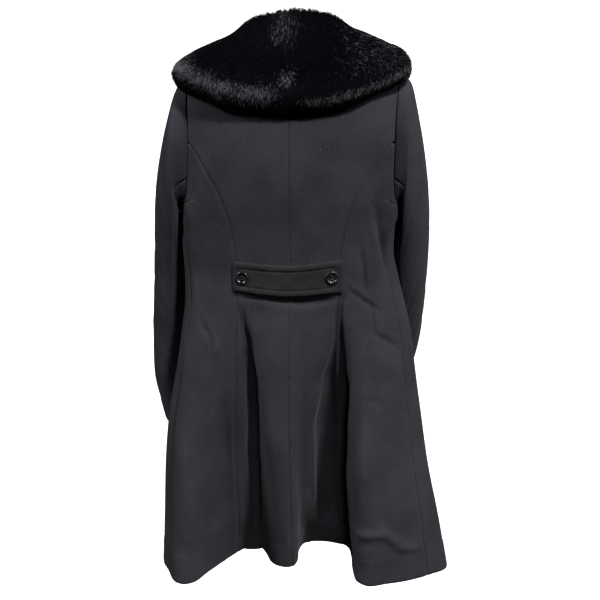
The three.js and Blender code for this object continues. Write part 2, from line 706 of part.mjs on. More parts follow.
// Point of the cloth under the collar, a share of the way from the neck to the outer edge,
// and the direction out of the cloth there
function collarRest(half, degrees, share) {
  const angle = half.sign * degrees * DEG;
  const level = (collar.edge(degrees) + half.shorter * Math.sin(degrees * DEG)) * share;
  const point = plainPoint(angle, level);
  const held = Math.min(level, -LEVEL_STEP);
  const round = plainPoint(angle + ANGLE_STEP, held).sub(plainPoint(angle - ANGLE_STEP, held));
  const up = plainPoint(angle, held + LEVEL_STEP).sub(plainPoint(angle, held - LEVEL_STEP));
  const normal = round.cross(up).normalize().negate();
  const outwards = new THREE.Vector3(Math.sin(angle), Math.cos(angle), 0);
  point.addScaledVector(normal, collar.lift(degrees));
  const reach = collar.reach(degrees) + half.reach * Math.sin(angle) ** SHOULDER_NARROW;
  point.addScaledVector(outwards, reach * ease((share - 0.5) / 0.5));
  return { point, normal, outwards };
}

// Section of the collar: up the inside of the stand, over the roll, down the fur's face,
// round the outer edge and back along the underside to the neck
function collarSection(half, degrees) {
  const neck = plainPoint(half.sign * degrees * DEG, NECK);
  const { outwards } = collarRest(half, degrees, 0);
  const flatter = 1 - (1 - half.roll) * Math.sin(degrees * DEG);
  const rise = (collar.rollZ(degrees) - neck.z) * flatter;
  const pile = collar.pile(degrees) * (1 - (1 - half.pile) * Math.sin(degrees * DEG));
  const at = (out, height) => neck.clone().addScaledVector(outwards, out).setZ(neck.z + height);
  const seat = COLLAR_SEAT + FRONT_SEAT.extra * ease((degrees - FRONT_SEAT.from) / FRONT_SEAT.over);
  const section = COLLAR_STAND.map((row) => at(row.out, Math.max(rise * row.rise, seat)));
  section.push(at(collar.rollOut(degrees) + ROLL_ROUND.inside, rise));
  section.push(at(collar.rollOut(degrees) + ROLL_ROUND.outside, rise - ROLL_ROUND.fall));
  for (const share of COLLAR_OVER) {
    const { point, normal } = collarRest(half, degrees, share);
    section.push(point.addScaledVector(normal, pile * (1 + NECK_PILE * (1 - share))));
  }
  const edge = collarRest(half, degrees, 1);
  section.push(edge.point.clone().addScaledVector(edge.normal, pile * EDGE_PILE));
  section.push(edge.point);
  for (const share of COLLAR_UNDER) section.push(collarRest(half, degrees, share).point);
  section.push(at(COLLAR_FOOT, seat));
  return section;
}

for (const [side, half] of Object.entries(COLLAR_HALVES)) {
  const sections = COLLAR_ANGLES.map((degrees) => collarSection(half, degrees));
  for (const point of sections[0]) point.x = half.sign * SEAM_GAP / 2;
  addMesh(`collar_${side}`, loftGeometry(sections), FUR);
}

// Angle round the back at which the body lies at a distance from the middle line
function backAngle(x, level) {
  const width = x >= 0 ? body.left(level) : body.right(level);
  return Math.sign(x) * Math.asin((Math.abs(x) / width) ** (SECTION_POWER / 2));
}

// Point over the plain back, raised off the cloth
function raisedPoint(x, z, height) {
  const angle = backAngle(x, z);
  const point = plainPoint(angle, z);
  const round = plainPoint(angle + ANGLE_STEP, z).sub(plainPoint(angle - ANGLE_STEP, z));
  const up = plainPoint(angle, z + LEVEL_STEP).sub(plainPoint(angle, z - LEVEL_STEP));
  const normal = round.cross(up).normalize().negate();
  return { point: point.addScaledVector(normal, height), normal };
}

// Half belt: a padded strip whose back follows the cloth and whose face has a raised border
function beltGeometry() {
  const edge = tracks(BELT, 'x');
  const face = track(BELT_FACE, 'inset', 'height');
  const ends = [BELT[0].x, BELT[BELT.length - 1].x];
  const border = BELT_INSETS[BELT_INSETS.length - 1];
  const inwards = [...BELT_INSETS].reverse();
  const columns = BELT_INSETS.map((inset) => ends[0] + inset);
  for (let j = 1; j < BELT_STEPS; j += 1) {
    columns.push(ends[0] + border + j * (ends[1] - ends[0] - 2 * border) / BELT_STEPS);
  }
  columns.push(...inwards.map((inset) => ends[1] - inset));
  const outer = [];
  const inner = [];
  for (const x of columns) {
    const top = edge.top(x);
    const bottom = edge.bottom(x);
    const heights = [...BELT_INSETS.map((inset) => top - inset), (top + bottom) / 2];
    heights.push(...inwards.map((inset) => bottom + inset));
    const endInset = Math.min(x - ends[0], ends[1] - x);
    outer.push(heights.map((z) => raisedPoint(
      x, z, BELT_GAP + face(Math.min(endInset, top - z, z - bottom))).point));
    inner.push(heights.map((z) => raisedPoint(x, z, BELT_GAP).point));
  }
  return wallGeometry(outer, inner);
}
addMesh('back_belt', beltGeometry(), BELT_CLOTH);

// Four-hole button with a raised rim, its back at the origin and its face towards +Z
const wasm = await ManifoldModule();
wasm.setup();
function buttonGeometry(sides) {
  let solid = wasm.CrossSection.ofPolygons([BUTTON_FACE]).revolve(sides);
  const { radius, offset, sides: holeSides, through } = BUTTON_HOLE;
  for (const [x, y] of [[1, 1], [1, -1], [-1, 1], [-1, -1]]) {
    const hole = wasm.Manifold.cylinder(through, radius, radius, holeSides, true);
    solid = solid.subtract(hole.translate([x * offset, y * offset, 0]));
  }
  const mesh = solid.getMesh();
  const geometry = new THREE.BufferGeometry();
  geometry.setAttribute('position', new THREE.Float32BufferAttribute(mesh.vertProperties, 3));
  geometry.setIndex(Array.from(mesh.triVerts));
  geometry.computeVertexNormals();
  return geometry;
}

function addButton(name, sides, seat) {
  const { point, normal } = seat;
  const up = new THREE.Vector3(0, 0, 1);
  const across = up.clone().cross(normal).normalize();
  const turn = new THREE.Matrix4().makeBasis(across, normal.clone().cross(across), normal);
  turn.setPosition(point);
  addMesh(name, buttonGeometry(sides).applyMatrix4(turn), HORN);
}

const beltFace = BELT_GAP + BELT_FACE[BELT_FACE.length - 1].height;
for (const [side, { x, z }] of Object.entries(BELT_BUTTONS)) {
  addButton(`back_button_${side}`, BUTTON_SIDES.belt, raisedPoint(x, z, beltFace + BUTTON_SEAT));
}
FRONT_BUTTONS.forEach((z, i) => {
  const normal = coatNormal(4, z);
  const point = coatPoint(4, z).addScaledVector(normal, FRONT_BUTTON_SEAT);
  addButton(`front_button_${i + 1}`, BUTTON_SIDES.front, { point, normal });
});

export default coat;
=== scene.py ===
# %% [markdown]
# # A black wool coat with a fur collar
# The coat hangs filled out, as if worn, and is seen from behind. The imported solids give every
# piece its place; this script adds what they leave out: the soft edges of the seams, creases,
# the nap of the wool, stitches, and the fur. Everything is in metres once it is in a mesh,
# with the back of the coat towards +Y and the wearer's left towards +X. The tables below are
# in millimetres, as a tailor would write them.

import bpy
import numpy as np
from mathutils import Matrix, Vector


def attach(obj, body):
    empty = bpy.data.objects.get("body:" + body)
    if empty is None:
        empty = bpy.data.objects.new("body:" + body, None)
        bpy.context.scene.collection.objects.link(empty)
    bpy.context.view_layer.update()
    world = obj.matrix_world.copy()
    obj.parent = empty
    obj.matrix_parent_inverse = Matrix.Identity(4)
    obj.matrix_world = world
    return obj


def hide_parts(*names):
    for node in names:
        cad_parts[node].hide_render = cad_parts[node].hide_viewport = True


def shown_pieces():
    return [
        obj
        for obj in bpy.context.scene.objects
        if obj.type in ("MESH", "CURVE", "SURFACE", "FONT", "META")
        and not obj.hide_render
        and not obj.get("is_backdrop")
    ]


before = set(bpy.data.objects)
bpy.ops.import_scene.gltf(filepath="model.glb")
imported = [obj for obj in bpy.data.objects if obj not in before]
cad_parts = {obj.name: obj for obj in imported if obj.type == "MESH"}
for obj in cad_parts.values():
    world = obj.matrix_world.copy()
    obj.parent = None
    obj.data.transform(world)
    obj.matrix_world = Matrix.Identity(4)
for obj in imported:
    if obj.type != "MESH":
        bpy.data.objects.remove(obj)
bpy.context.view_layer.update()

MM = 0.001
print("solids:", len(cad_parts))

# %% [markdown]
# ## Camera
# The photograph was taken from about a metre and a half behind the coat, at the height of
# its shoulder blades, looking a little down. A lens of 50 mm gives the photograph's
# perspective: the hem is seen more from above than the shoulders are.

# %% Camera
camera = bpy.data.objects.new("camera", bpy.data.cameras.new("camera"))
bpy.context.scene.collection.objects.link(camera)
bpy.context.scene.camera = camera
camera.location = Vector((-0.1568, 1.4918, -0.200))
look_at = Vector((-0.0105, 0.0, -0.440))
camera.rotation_euler = (look_at - camera.location).to_track_quat("-Z", "Y").to_euler()
camera.data.sensor_width = 36.0
camera.data.lens = 50.1
camera.data.clip_start, camera.data.clip_end = 0.05, 40.0
print("camera is", round((look_at - camera.location).length, 3), "m away")

# %% [markdown]
# ## The cut of the body
# A coat's body is a tube that changes along its length, so it is written as a table of
# rounded sections: half widths to the wearer's left and right, depths to the back and the
# front, and the real height of each section at the back, side and front, as the neck and
# the hem aren't level. A smooth track runs through each column.

# %% Tables and tracks


def table(columns, rows):
    """A short table with named columns, as one array for each name."""
    return dict(zip(columns.split(), np.array(rows, float).T))


def track(rows, key, value):
    """A cubic through the rows that never overshoots: the slope at a row is the harmonic
    mean of the slopes beside it, or none where they differ in sign."""
    order = np.argsort(rows[key])
    x, y = rows[key][order], rows[value][order]
    rise = np.diff(y) / np.diff(x)
    both = rise[:-1] * rise[1:] > 0
    total = np.where(both, rise[:-1] + rise[1:], 1.0)
    inner = np.where(both, 2 * rise[:-1] * rise[1:] / total, 0.0)
    slope = np.concatenate([rise[:1], inner, rise[-1:]])

    def at(wanted):
        w = np.clip(wanted, x[0], x[-1])
        i = np.clip(np.searchsorted(x, w) - 1, 0, len(rise) - 1)
        span = x[i + 1] - x[i]
        t = (w - x[i]) / span
        held = (1 + 2 * t) * (1 - t) ** 2 * y[i] + t * t * (3 - 2 * t) * y[i + 1]
        return held + span * (t * (1 - t) ** 2 * slope[i] - t * t * (1 - t) * slope[i + 1])

    return at


def tracks(rows, key):
    return {name: track(rows, key, name) for name in rows if name != key}


BODY = tracks(table("level left right back front backZ sideZ frontZ", [
    (0, 75, 75, 56, 62, -18, 0, -96),
    (-50, 190, 190, 78, 84, -66, -48, -122),
    (-100, 203, 199, 89, 100, -104, -99, -146),
    (-160, 205, 200, 94, 113, -160, -160, -176),
    (-210, 205, 196, 92, 118, -210, -210, -216),
    (-264, 204, 189, 87, 115, -264, -264, -266),
    (-303, 203, 182, 81, 107, -303, -303, -303),
    (-347, 202, 179, 76, 96, -347, -347, -347),
    (-392, 200, 187, 73, 88, -392, -392, -392),
    (-437, 201, 198, 77, 91, -437, -437, -437),
    (-492, 208, 211, 85, 101, -492, -492, -493),
    (-566, 219, 222, 93, 113, -566, -566, -569),
    (-650, 233, 236, 93, 121, -650, -651, -656),
    (-735, 241, 250, 88, 126, -735, -736, -745),
    (-851, 247, 274, 74, 131, -851, -852, -867),
    (-948, 252, 291, 60, 134, -948, -950, -972),
]), "level")
SEAMS = tracks(table("level princessLeft princessRight side", [
    (-157, 61.6, 61.6, 90), (-172, 55, 53.5, 90), (-184, 50.7, 49.8, 90),
    (-211, 43.5, 42.6, 90), (-237, 37.7, 38.2, 90), (-264, 33.6, 34.3, 90),
    (-303, 29.6, 30.3, 78), (-347, 27.6, 28.2, 70), (-424, 26.8, 24.6, 66),
    (-650, 24.3, 20, 65), (-948, 25, 18, 64),
]), "level")
WALL = 2.4
SHOULDER_TIP, ARMHOLE_BOTTOM, HEM = -50.0, -264.0, -948.0
ARMHOLE_MIDDLE = (SHOULDER_TIP + ARMHOLE_BOTTOM) / 2
ARMHOLE_REACH = (SHOULDER_TIP - ARMHOLE_BOTTOM) / 2
ARMHOLE_BACK, ARMHOLE_FRONT, ARMHOLE_POWER = 0.115, 0.15, 0.8
SECTION_POWER = 2.1
FRONT_FALL = 0.1


def power(value, exponent):
    return np.sign(value) * np.abs(value) ** exponent


def ease(t):
    t = np.clip(t, 0.0, 1.0)
    return t * t * (3 - 2 * t)


def plain_point(angle, level):
    """The body before its folds: a rounded section of half width W and depth D has
    x = W sin(angle)^(2/p) and y = D cos(angle)^(2/p), with the signs kept."""
    sine, cosine = np.sin(angle), np.cos(angle)
    width = np.where(sine >= 0, BODY["left"](level), BODY["right"](level))
    depth = np.where(cosine >= 0, BODY["back"](level), BODY["front"](level))
    end_z = np.where(cosine >= 0, BODY["backZ"](level), BODY["frontZ"](level))
    side_z = BODY["sideZ"](level)
    x = width * power(sine, 2 / SECTION_POWER)
    y = depth * power(cosine, 2 / SECTION_POWER)
    fall = np.where(cosine < 0, FRONT_FALL * x * cosine**2 * (level / HEM) ** 4, 0.0)
    return np.stack([x, y, side_z + (end_z - side_z) * cosine**2 - fall], axis=-1)


print("waist half widths:", [round(float(BODY[k](-347.0)), 1) for k in ("left", "right")])

# %% [markdown]
# ## Where the seams run
# A place round the coat is counted by its seams: 0 is the middle of the back, 1 the left
# princess seam, 2 the left side seam or armhole and 4 the middle of the front. Minus signs
# are the wearer's right. The armhole is an arch cut out of the side of the tube.

# %% Seams


def in_armhole(level):
    return (level < SHOULDER_TIP) & (level > ARMHOLE_BOTTOM)


def armhole_angle(level, cut):
    """Angle of the armhole's edge: the section is cut at (1 - cut s) of its half width,
    where s follows a half circle down the armhole."""
    turn = (level - ARMHOLE_MIDDLE) / ARMHOLE_REACH
    s = np.sqrt(np.maximum(1 - turn * turn, 0.0)) ** ARMHOLE_POWER
    return np.arcsin((1 - cut * s) ** (SECTION_POWER / 2))


def seam_angle(seam, level):
    side, count = np.sign(seam), abs(seam)
    if count == 0:
        return np.zeros_like(level)
    quarter = np.full_like(level, np.pi / 2)
    cut = ARMHOLE_FRONT if count == 2.5 else ARMHOLE_BACK
    hole = armhole_angle(level, cut)
    if count == 2.5:
        hole = np.pi - hole
    low = np.radians(SEAMS["side"](level))
    angle = np.where(in_armhole(level), hole, low)
    if count == 1:
        key = "princessLeft" if side > 0 else "princessRight"
        angle = np.where(level > ARMHOLE_MIDDLE, angle, np.radians(SEAMS[key](level)))
    return side * np.where(level >= SHOULDER_TIP, quarter, angle)


def place_angle(place, level):
    """Angle of a place: an even share of the way from one seam to the next."""
    place, level = np.broadcast_arrays(np.asarray(place, float), np.asarray(level, float))
    count = np.abs(place)
    found = np.zeros_like(place)
    for side in (1.0, -1.0):
        princess, hole = seam_angle(side, level), seam_angle(2 * side, level)
        front = seam_angle(2.5 * side, level)
        one = princess * count
        two = princess + (hole - princess) * (count - 1)
        four = front + (side * np.pi - front) * (count - 2) / 2
        here = np.where(count > 2, four, np.where(count > 1, two, one))
        found = np.where((place < 0) == (side < 0), here, found)
    return found


# %% [markdown]
# ## The hem and its folds
# The skirt is flared, so its hem is much longer than the section that it hangs from and
# stands in folds. The hem is one smooth line, drawn through the points of a table as seen
# from above. Each place round the coat belongs to a point of that line, by length between
# the seams, and the cloth leaves the plain tube for it more and more on the way down.

# %% Hem line
HEM_LINE = [
    (2, 228, 64), (None, 209, 97), (None, 190, 105), (None, 172, 94), (None, 156, 56),
    (None, 136, 12), (1, 116, -30), (None, 98, -57), (None, 80, -64), (None, 61, -36),
    (None, 43, 6), (None, 25, 21), (0, 4, 20), (None, -4, 0), (None, -3, -48),
    (None, -12, -84), (None, -32, -94), (None, -54, -96), (-1, -76, -90), (None, -97, -72),
    (None, -106, -30), (None, -111, 28), (None, -121, 66), (None, -142, 80),
    (None, -174, 66), (None, -212, 50), (-2, -250, 27), (None, -288, -8),
    (None, -282, -52), (None, -246, -92), (None, -200, -106), (None, -150, -98),
    (None, -98, -100), (None, -50, -128), (-4, 0, -138), (None, 50, -134),
    (None, 96, -104), (None, 142, -104), (None, 188, -108), (None, 226, -80),
    (None, 249, -34), (None, 252, 14), (-6, 228, 64),
]
FOLD_TOP, FOLD_POWER = -426.0, 1.22
HEM_STEPS = 30


def hermite(a, b, start, end, t):
    """The cubic from a to b that leaves with slope start and arrives with slope end."""
    return (a + start * t + (3 * (b - a) - 2 * start - end) * t**2
            + (2 * (a - b) + start + end) * t**3)


def smooth_line(points, steps):
    """A centripetal Catmull-Rom curve: each span is a cubic whose end slopes come from the
    points beside it, spaced by the square root of their distance."""
    p = np.concatenate([2 * points[:1] - points[1:2], points, 2 * points[-1:] - points[-2:-1]])
    gap = np.sqrt(np.linalg.norm(np.diff(p, axis=0), axis=1))[:, None]
    a, b, c, d = p[:-3], p[1:-2], p[2:-1], p[3:]
    g0, g1, g2 = gap[:-2], gap[1:-1], gap[2:]
    start = ((b - a) / g0 - (c - a) / (g0 + g1) + (c - b) / g1) * g1
    end = ((c - b) / g1 - (d - b) / (g1 + g2) + (d - c) / g2) * g1
    span = hermite(b, c, start, end, (np.arange(steps) / steps)[:, None, None])
    return np.concatenate([span.transpose(1, 0, 2).reshape(-1, points.shape[1]), points[-1:]])


hem_line = smooth_line(np.array([row[1:] for row in HEM_LINE], float), HEM_STEPS)
hem_length = np.concatenate([[0], np.cumsum(np.linalg.norm(np.diff(hem_line, axis=0), axis=1))])
hem_seams = [(-row[0], hem_length[i * HEM_STEPS]) for i, row in enumerate(HEM_LINE)
             if row[0] is not None]
print("hem is", round(hem_length[-1]), "mm round")


def hem_offset(place):
    """How far the hem line lies from the plain tube's hem, across the floor."""
    place = np.asarray(place, float)
    turned = np.where(place > 2, place - 8, place)
    keys, lengths = np.array(hem_seams).T
    at = np.interp(-turned, keys, lengths)
    x = np.interp(at, hem_length, hem_line[:, 0])
    y = np.interp(at, hem_length, hem_line[:, 1])
    plain = plain_point(place_angle(place, HEM), HEM)
    return np.stack([x - plain[..., 0], y - plain[..., 1], np.zeros_like(x)], axis=-1)


def coat_point(place, level):
    """The coat's face: the plain tube, moved towards the hem line by the share
    ((fold top - level) / (fold top - hem)) ^ 1.22 of the hem's offset."""
    place, level = np.broadcast_arrays(np.asarray(place, float), np.asarray(level, float))
    point = plain_point(place_angle(place, level), level)
    grown = np.clip((FOLD_TOP - level) / (FOLD_TOP - HEM), 0, None) ** FOLD_POWER
    return point + hem_offset(place) * grown[..., None]


def unit(v):
    return v / np.maximum(np.linalg.norm(v, axis=-1, keepdims=True), 1e-12)


PLACE_STEP, LEVEL_STEP = 0.03, 2.0


def coat_normal(place, level):
    """Direction out of the cloth: the cross product of two short steps over it, which stay
    on their own side of the armhole."""
    place, level = np.broadcast_arrays(np.asarray(place, float), np.asarray(level, float))
    held = np.clip(level, HEM + LEVEL_STEP, -LEVEL_STEP)
    low, high = place - PLACE_STEP, place + PLACE_STEP
    hole, back = in_armhole(level), np.abs(place) <= 2
    low = np.where(hole & back, np.maximum(low, -2.0), low)
    high = np.where(hole & back, np.minimum(high, 2.0), high)
    low = np.where(hole & ~back & (place > 0), np.maximum(low, 2.0001), low)
    high = np.where(hole & ~back & (place < 0), np.minimum(high, -2.0001), high)
    across = coat_point(high, held) - coat_point(low, held)
    up = coat_point(place, held + LEVEL_STEP) - coat_point(place, held - LEVEL_STEP)
    return -unit(np.cross(across, up))


# %% [markdown]
# ## Meshes from grids
# A piece of cloth is a grid of points for its face, a second grid a wall's thickness behind
# it, and a narrow strip round all four edges, so it is closed. The faces of a grid are
# worked out as one array, and `foreach_set` writes the whole mesh at once.

# %% Mesh helpers


def grid_faces(rows, columns, start=0, flip=False):
    """Four-sided faces of a grid of rows times columns points, numbered from start."""
    i, j = np.meshgrid(np.arange(rows - 1), np.arange(columns - 1), indexing="ij")
    a = (start + i * columns + j).ravel()
    faces = np.stack([a, a + 1, a + columns + 1, a + columns], axis=1)
    return faces[:, ::-1] if flip else faces


def make_mesh(name, points, quads, triangles=()):
    """A mesh object from points in millimetres and arrays of faces, at the origin."""
    quads = np.asarray(quads, np.int64).reshape(-1, 4)
    triangles = np.asarray(triangles, np.int64).reshape(-1, 3)
    corners = np.concatenate([quads.ravel(), triangles.ravel()]).astype(np.int32)
    sizes = np.concatenate([np.full(len(quads), 4), np.full(len(triangles), 3)])
    starts = np.concatenate([[0], np.cumsum(sizes)[:-1]]).astype(np.int32)
    mesh = bpy.data.meshes.new(name)
    mesh.vertices.add(len(points))
    mesh.vertices.foreach_set("co", (np.asarray(points) * MM).astype(np.float32).ravel())
    mesh.loops.add(len(corners))
    mesh.loops.foreach_set("vertex_index", corners)
    mesh.polygons.add(len(sizes))
    mesh.polygons.foreach_set("loop_start", starts)
    mesh.polygons.foreach_set("use_smooth", np.ones(len(sizes), bool))
    mesh.update(calc_edges=True)
    mesh.validate()
    piece = bpy.data.objects.new(name, mesh)
    bpy.context.scene.collection.objects.link(piece)
    return piece


def signed_volume(points, quads):
    a, b, c, d = (points[quads[:, k]] for k in range(4))
    return (np.einsum("ij,ij->i", a, np.cross(b, c)) + np.einsum("ij,ij->i", a, np.cross(c, d))).sum()


def wall_mesh(name, outer, inner):
    """A closed wall between two grids of the same size: both grids and the strips that
    join their edges. The faces are turned over together if they would face in."""
    rows, columns = outer.shape[:2]
    shift = rows * columns
    ids = np.arange(shift).reshape(rows, columns)
    rim = np.concatenate([ids[0, :-1], ids[:-1, -1], ids[-1, :0:-1], ids[:0:-1, 0]])
    after = np.roll(rim, -1)
    strip = np.stack([after, rim, rim + shift, after + shift], axis=1)
    quads = np.concatenate([grid_faces(rows, columns), grid_faces(rows, columns, shift, True),
                            strip])
    points = np.concatenate([outer.reshape(-1, 3), inner.reshape(-1, 3)])
    if signed_volume(points, quads) < 0:
        quads = quads[:, ::-1]
    return make_mesh(name, points, quads)


def ring_faces(rows, sides):
    """Four-sided faces of a tube of rows of points, with as many sides in each row."""
    row, side = np.meshgrid(np.arange(rows - 1) * sides, np.arange(sides), indexing="ij")
    a, b = (row + side).ravel(), (row + (side + 1) % sides).ravel()
    return np.stack([a, b, b + sides, a + sides], axis=1)


def capped_tubes(name, tubes):
    """One mesh of closed tubes of the same size: rings of points, and a fan from the middle
    of each end. The faces are turned over together if they would face in."""
    tubes = np.stack(tubes)
    count, rows, sides = tubes.shape[:3]
    quads = ring_faces(rows, sides)
    ends = np.stack([tubes[:, 0].mean(axis=1), tubes[:, -1].mean(axis=1)], axis=1)
    points = np.concatenate([tubes.reshape(count, -1, 3), ends], axis=1)
    ring, after, last = np.arange(sides), (np.arange(sides) + 1) % sides, (rows - 1) * sides
    fans = np.concatenate([
        np.stack([after, ring, np.full(sides, rows * sides)], axis=1),
        np.stack([ring + last, after + last, np.full(sides, rows * sides + 1)], axis=1)])
    if signed_volume(points[0], quads) < 0:
        quads, fans = quads[:, ::-1], fans[:, ::-1]
    shift = (np.arange(count) * points.shape[1])[:, None, None]
    return make_mesh(name, points.reshape(-1, 3), (quads + shift).reshape(-1, 4),
                     (fans + shift).reshape(-1, 3))


def measure_cut(grid):
    """Width, length and area of a grid of cloth laid flat, in metres."""
    across = np.linalg.norm(np.diff(grid, axis=1), axis=2).sum(axis=1).max()
    along = np.linalg.norm(np.diff(grid, axis=0), axis=2).sum(axis=0).max()
    a, b = grid[1:, 1:] - grid[:-1, :-1], grid[1:, :-1] - grid[:-1, 1:]
    area = (np.linalg.norm(np.cross(a, b), axis=2) / 2).sum()
    return across * MM, along * MM, area * MM * MM


# %% [markdown]
# ## Shader maths as sums
# A material is easiest to read as a formula. `Value` wraps a socket and turns each operator
# into a Math node; `Finish` holds one material and makes any other node from its type, its
# settings and its inputs.

# %% Shader helpers


class Value:
    """A socket in a sum: +, -, * and their reflected forms add Math nodes."""

    def __init__(self, finish, socket):
        self.finish, self.socket = finish, socket

    def math(self, operation, first, second):
        return self.finish.node("ShaderNodeMath", {"operation": operation}, {0: first, 1: second})

    def __add__(self, other):
        return self.math("ADD", self, other)

    def __sub__(self, other):
        return self.math("SUBTRACT", self, other)

    def __rsub__(self, other):
        return self.math("SUBTRACT", other, self)

    def __mul__(self, other):
        return self.math("MULTIPLY", self, other)

    __radd__, __rmul__ = __add__, __mul__

    def between(self, low, high):
        """0 at low, 1 at high, and a soft step between them."""
        return self.finish.node("ShaderNodeMapRange", {"interpolation_type": "SMOOTHSTEP"},
                                {"Value": self, "From Min": low, "From Max": high})


class Finish:
    """One material, with its main shader at hand."""

    def __init__(self, name, **constants):
        self.material = bpy.data.materials.new(name)
        self.material.use_nodes = True
        self.tree = self.material.node_tree
        self.shader = self.tree.nodes["Principled BSDF"]
        for socket, value in constants.items():
            self.shader.inputs[socket.replace("_", " ")].default_value = value

    def node(self, kind, settings=(), inputs=(), output=0):
        """A node of any kind: its settings go in first, then its inputs' values or links."""
        made = self.tree.nodes.new(kind)
        for key, value in dict(settings).items():
            setattr(made, key, value)
        for key, value in dict(inputs).items():
            self.put(made.inputs[key], value)
        return Value(self, made.outputs[output])

    def put(self, socket, value):
        if isinstance(value, Value):
            self.tree.links.new(value.socket, socket)
        else:
            socket.default_value = value

    def set(self, socket, value):
        self.put(self.shader.inputs[socket], value)

    def place(self, scale=(1, 1, 1)):
        """Object coordinates in metres, stretched where a pattern has a direction."""
        coordinates = self.node("ShaderNodeTexCoord", output=3)
        return self.node("ShaderNodeMapping", {}, {"Vector": coordinates, "Scale": scale})

    def attribute(self, name, output=2):
        return self.node("ShaderNodeAttribute", {"attribute_name": name}, {}, output)

    def noise(self, scale, detail=2.0, rough=0.5, vector=None):
        vector = vector or self.place()
        return self.node("ShaderNodeTexNoise", {}, {
            "Vector": vector, "Scale": scale, "Detail": detail, "Roughness": rough})

    def mix(self, factor, dark, light):
        """A colour part of the way from dark to light."""
        return self.node("ShaderNodeMix", {"data_type": "RGBA"},
                         {0: factor, 6: dark, 7: light}, output=2)

    def bump(self, height, strength, distance):
        return self.node("ShaderNodeBump", {}, {
            "Height": height, "Strength": strength, "Distance": distance})


# %% [markdown]
# ## Wool
# Melton wool is milled until its weave disappears under a short nap. Up close it is a field
# of fine curled fibres; from a step away it is an even matt black with faint clouds and a
# few specks of lint. Three noises make it: fibres under a millimetre, pills of a few
# millimetres and clouds of a few centimetres.

# %% Wool material


def wool(name, base, light):
    finish = Finish(name, Roughness=0.92, Sheen_Weight=0.04, Sheen_Roughness=0.5,
                    Specular_IOR_Level=0.05)
    fibre = finish.noise(900.0, 3.0, 0.65)
    nap = finish.noise(1.0, 2.0, 0.55, finish.place((520.0, 520.0, 150.0)))
    cloud = finish.noise(14.0, 3.0, 0.5)
    pill = finish.noise(210.0, 2.0, 0.6)
    cells = {"Vector": finish.place(), "Scale": 62.0, "Randomness": 1.0}
    speck = finish.node("ShaderNodeTexVoronoi", {}, cells)
    chance = finish.node("ShaderNodeTexVoronoi", {}, cells, output=1)
    chance = finish.node("ShaderNodeSeparateColor", {}, {"Color": chance})
    lint = (1 - speck.between(0.025, 0.05)) * chance.between(0.66, 0.7)
    tone = fibre * 0.35 + nap * 0.25 + cloud * 0.4
    colour = finish.mix(tone.between(0.3, 0.7), base, light)
    colour = finish.mix(lint * 0.8, colour, (0.2, 0.2, 0.21, 1))
    finish.set("Base Color", colour)
    finish.set("Roughness", 0.86 + 0.12 * cloud)
    height = fibre * 0.5 + pill * 0.35 + nap * 0.4
    finish.set("Normal", finish.bump(height, 0.55, 0.0009))
    return finish.material


WOOL = wool("wool", (0.0202, 0.0198, 0.0242, 1), (0.0384, 0.0376, 0.0460, 1))
# The half belt is cut from the coat's own wool; its darker colour is painted shade.
BELT_WOOL_PAINTED_SHADE = wool("belt_wool", (0.0137, 0.0137, 0.0148, 1), (0.0264, 0.0264, 0.0282, 1))
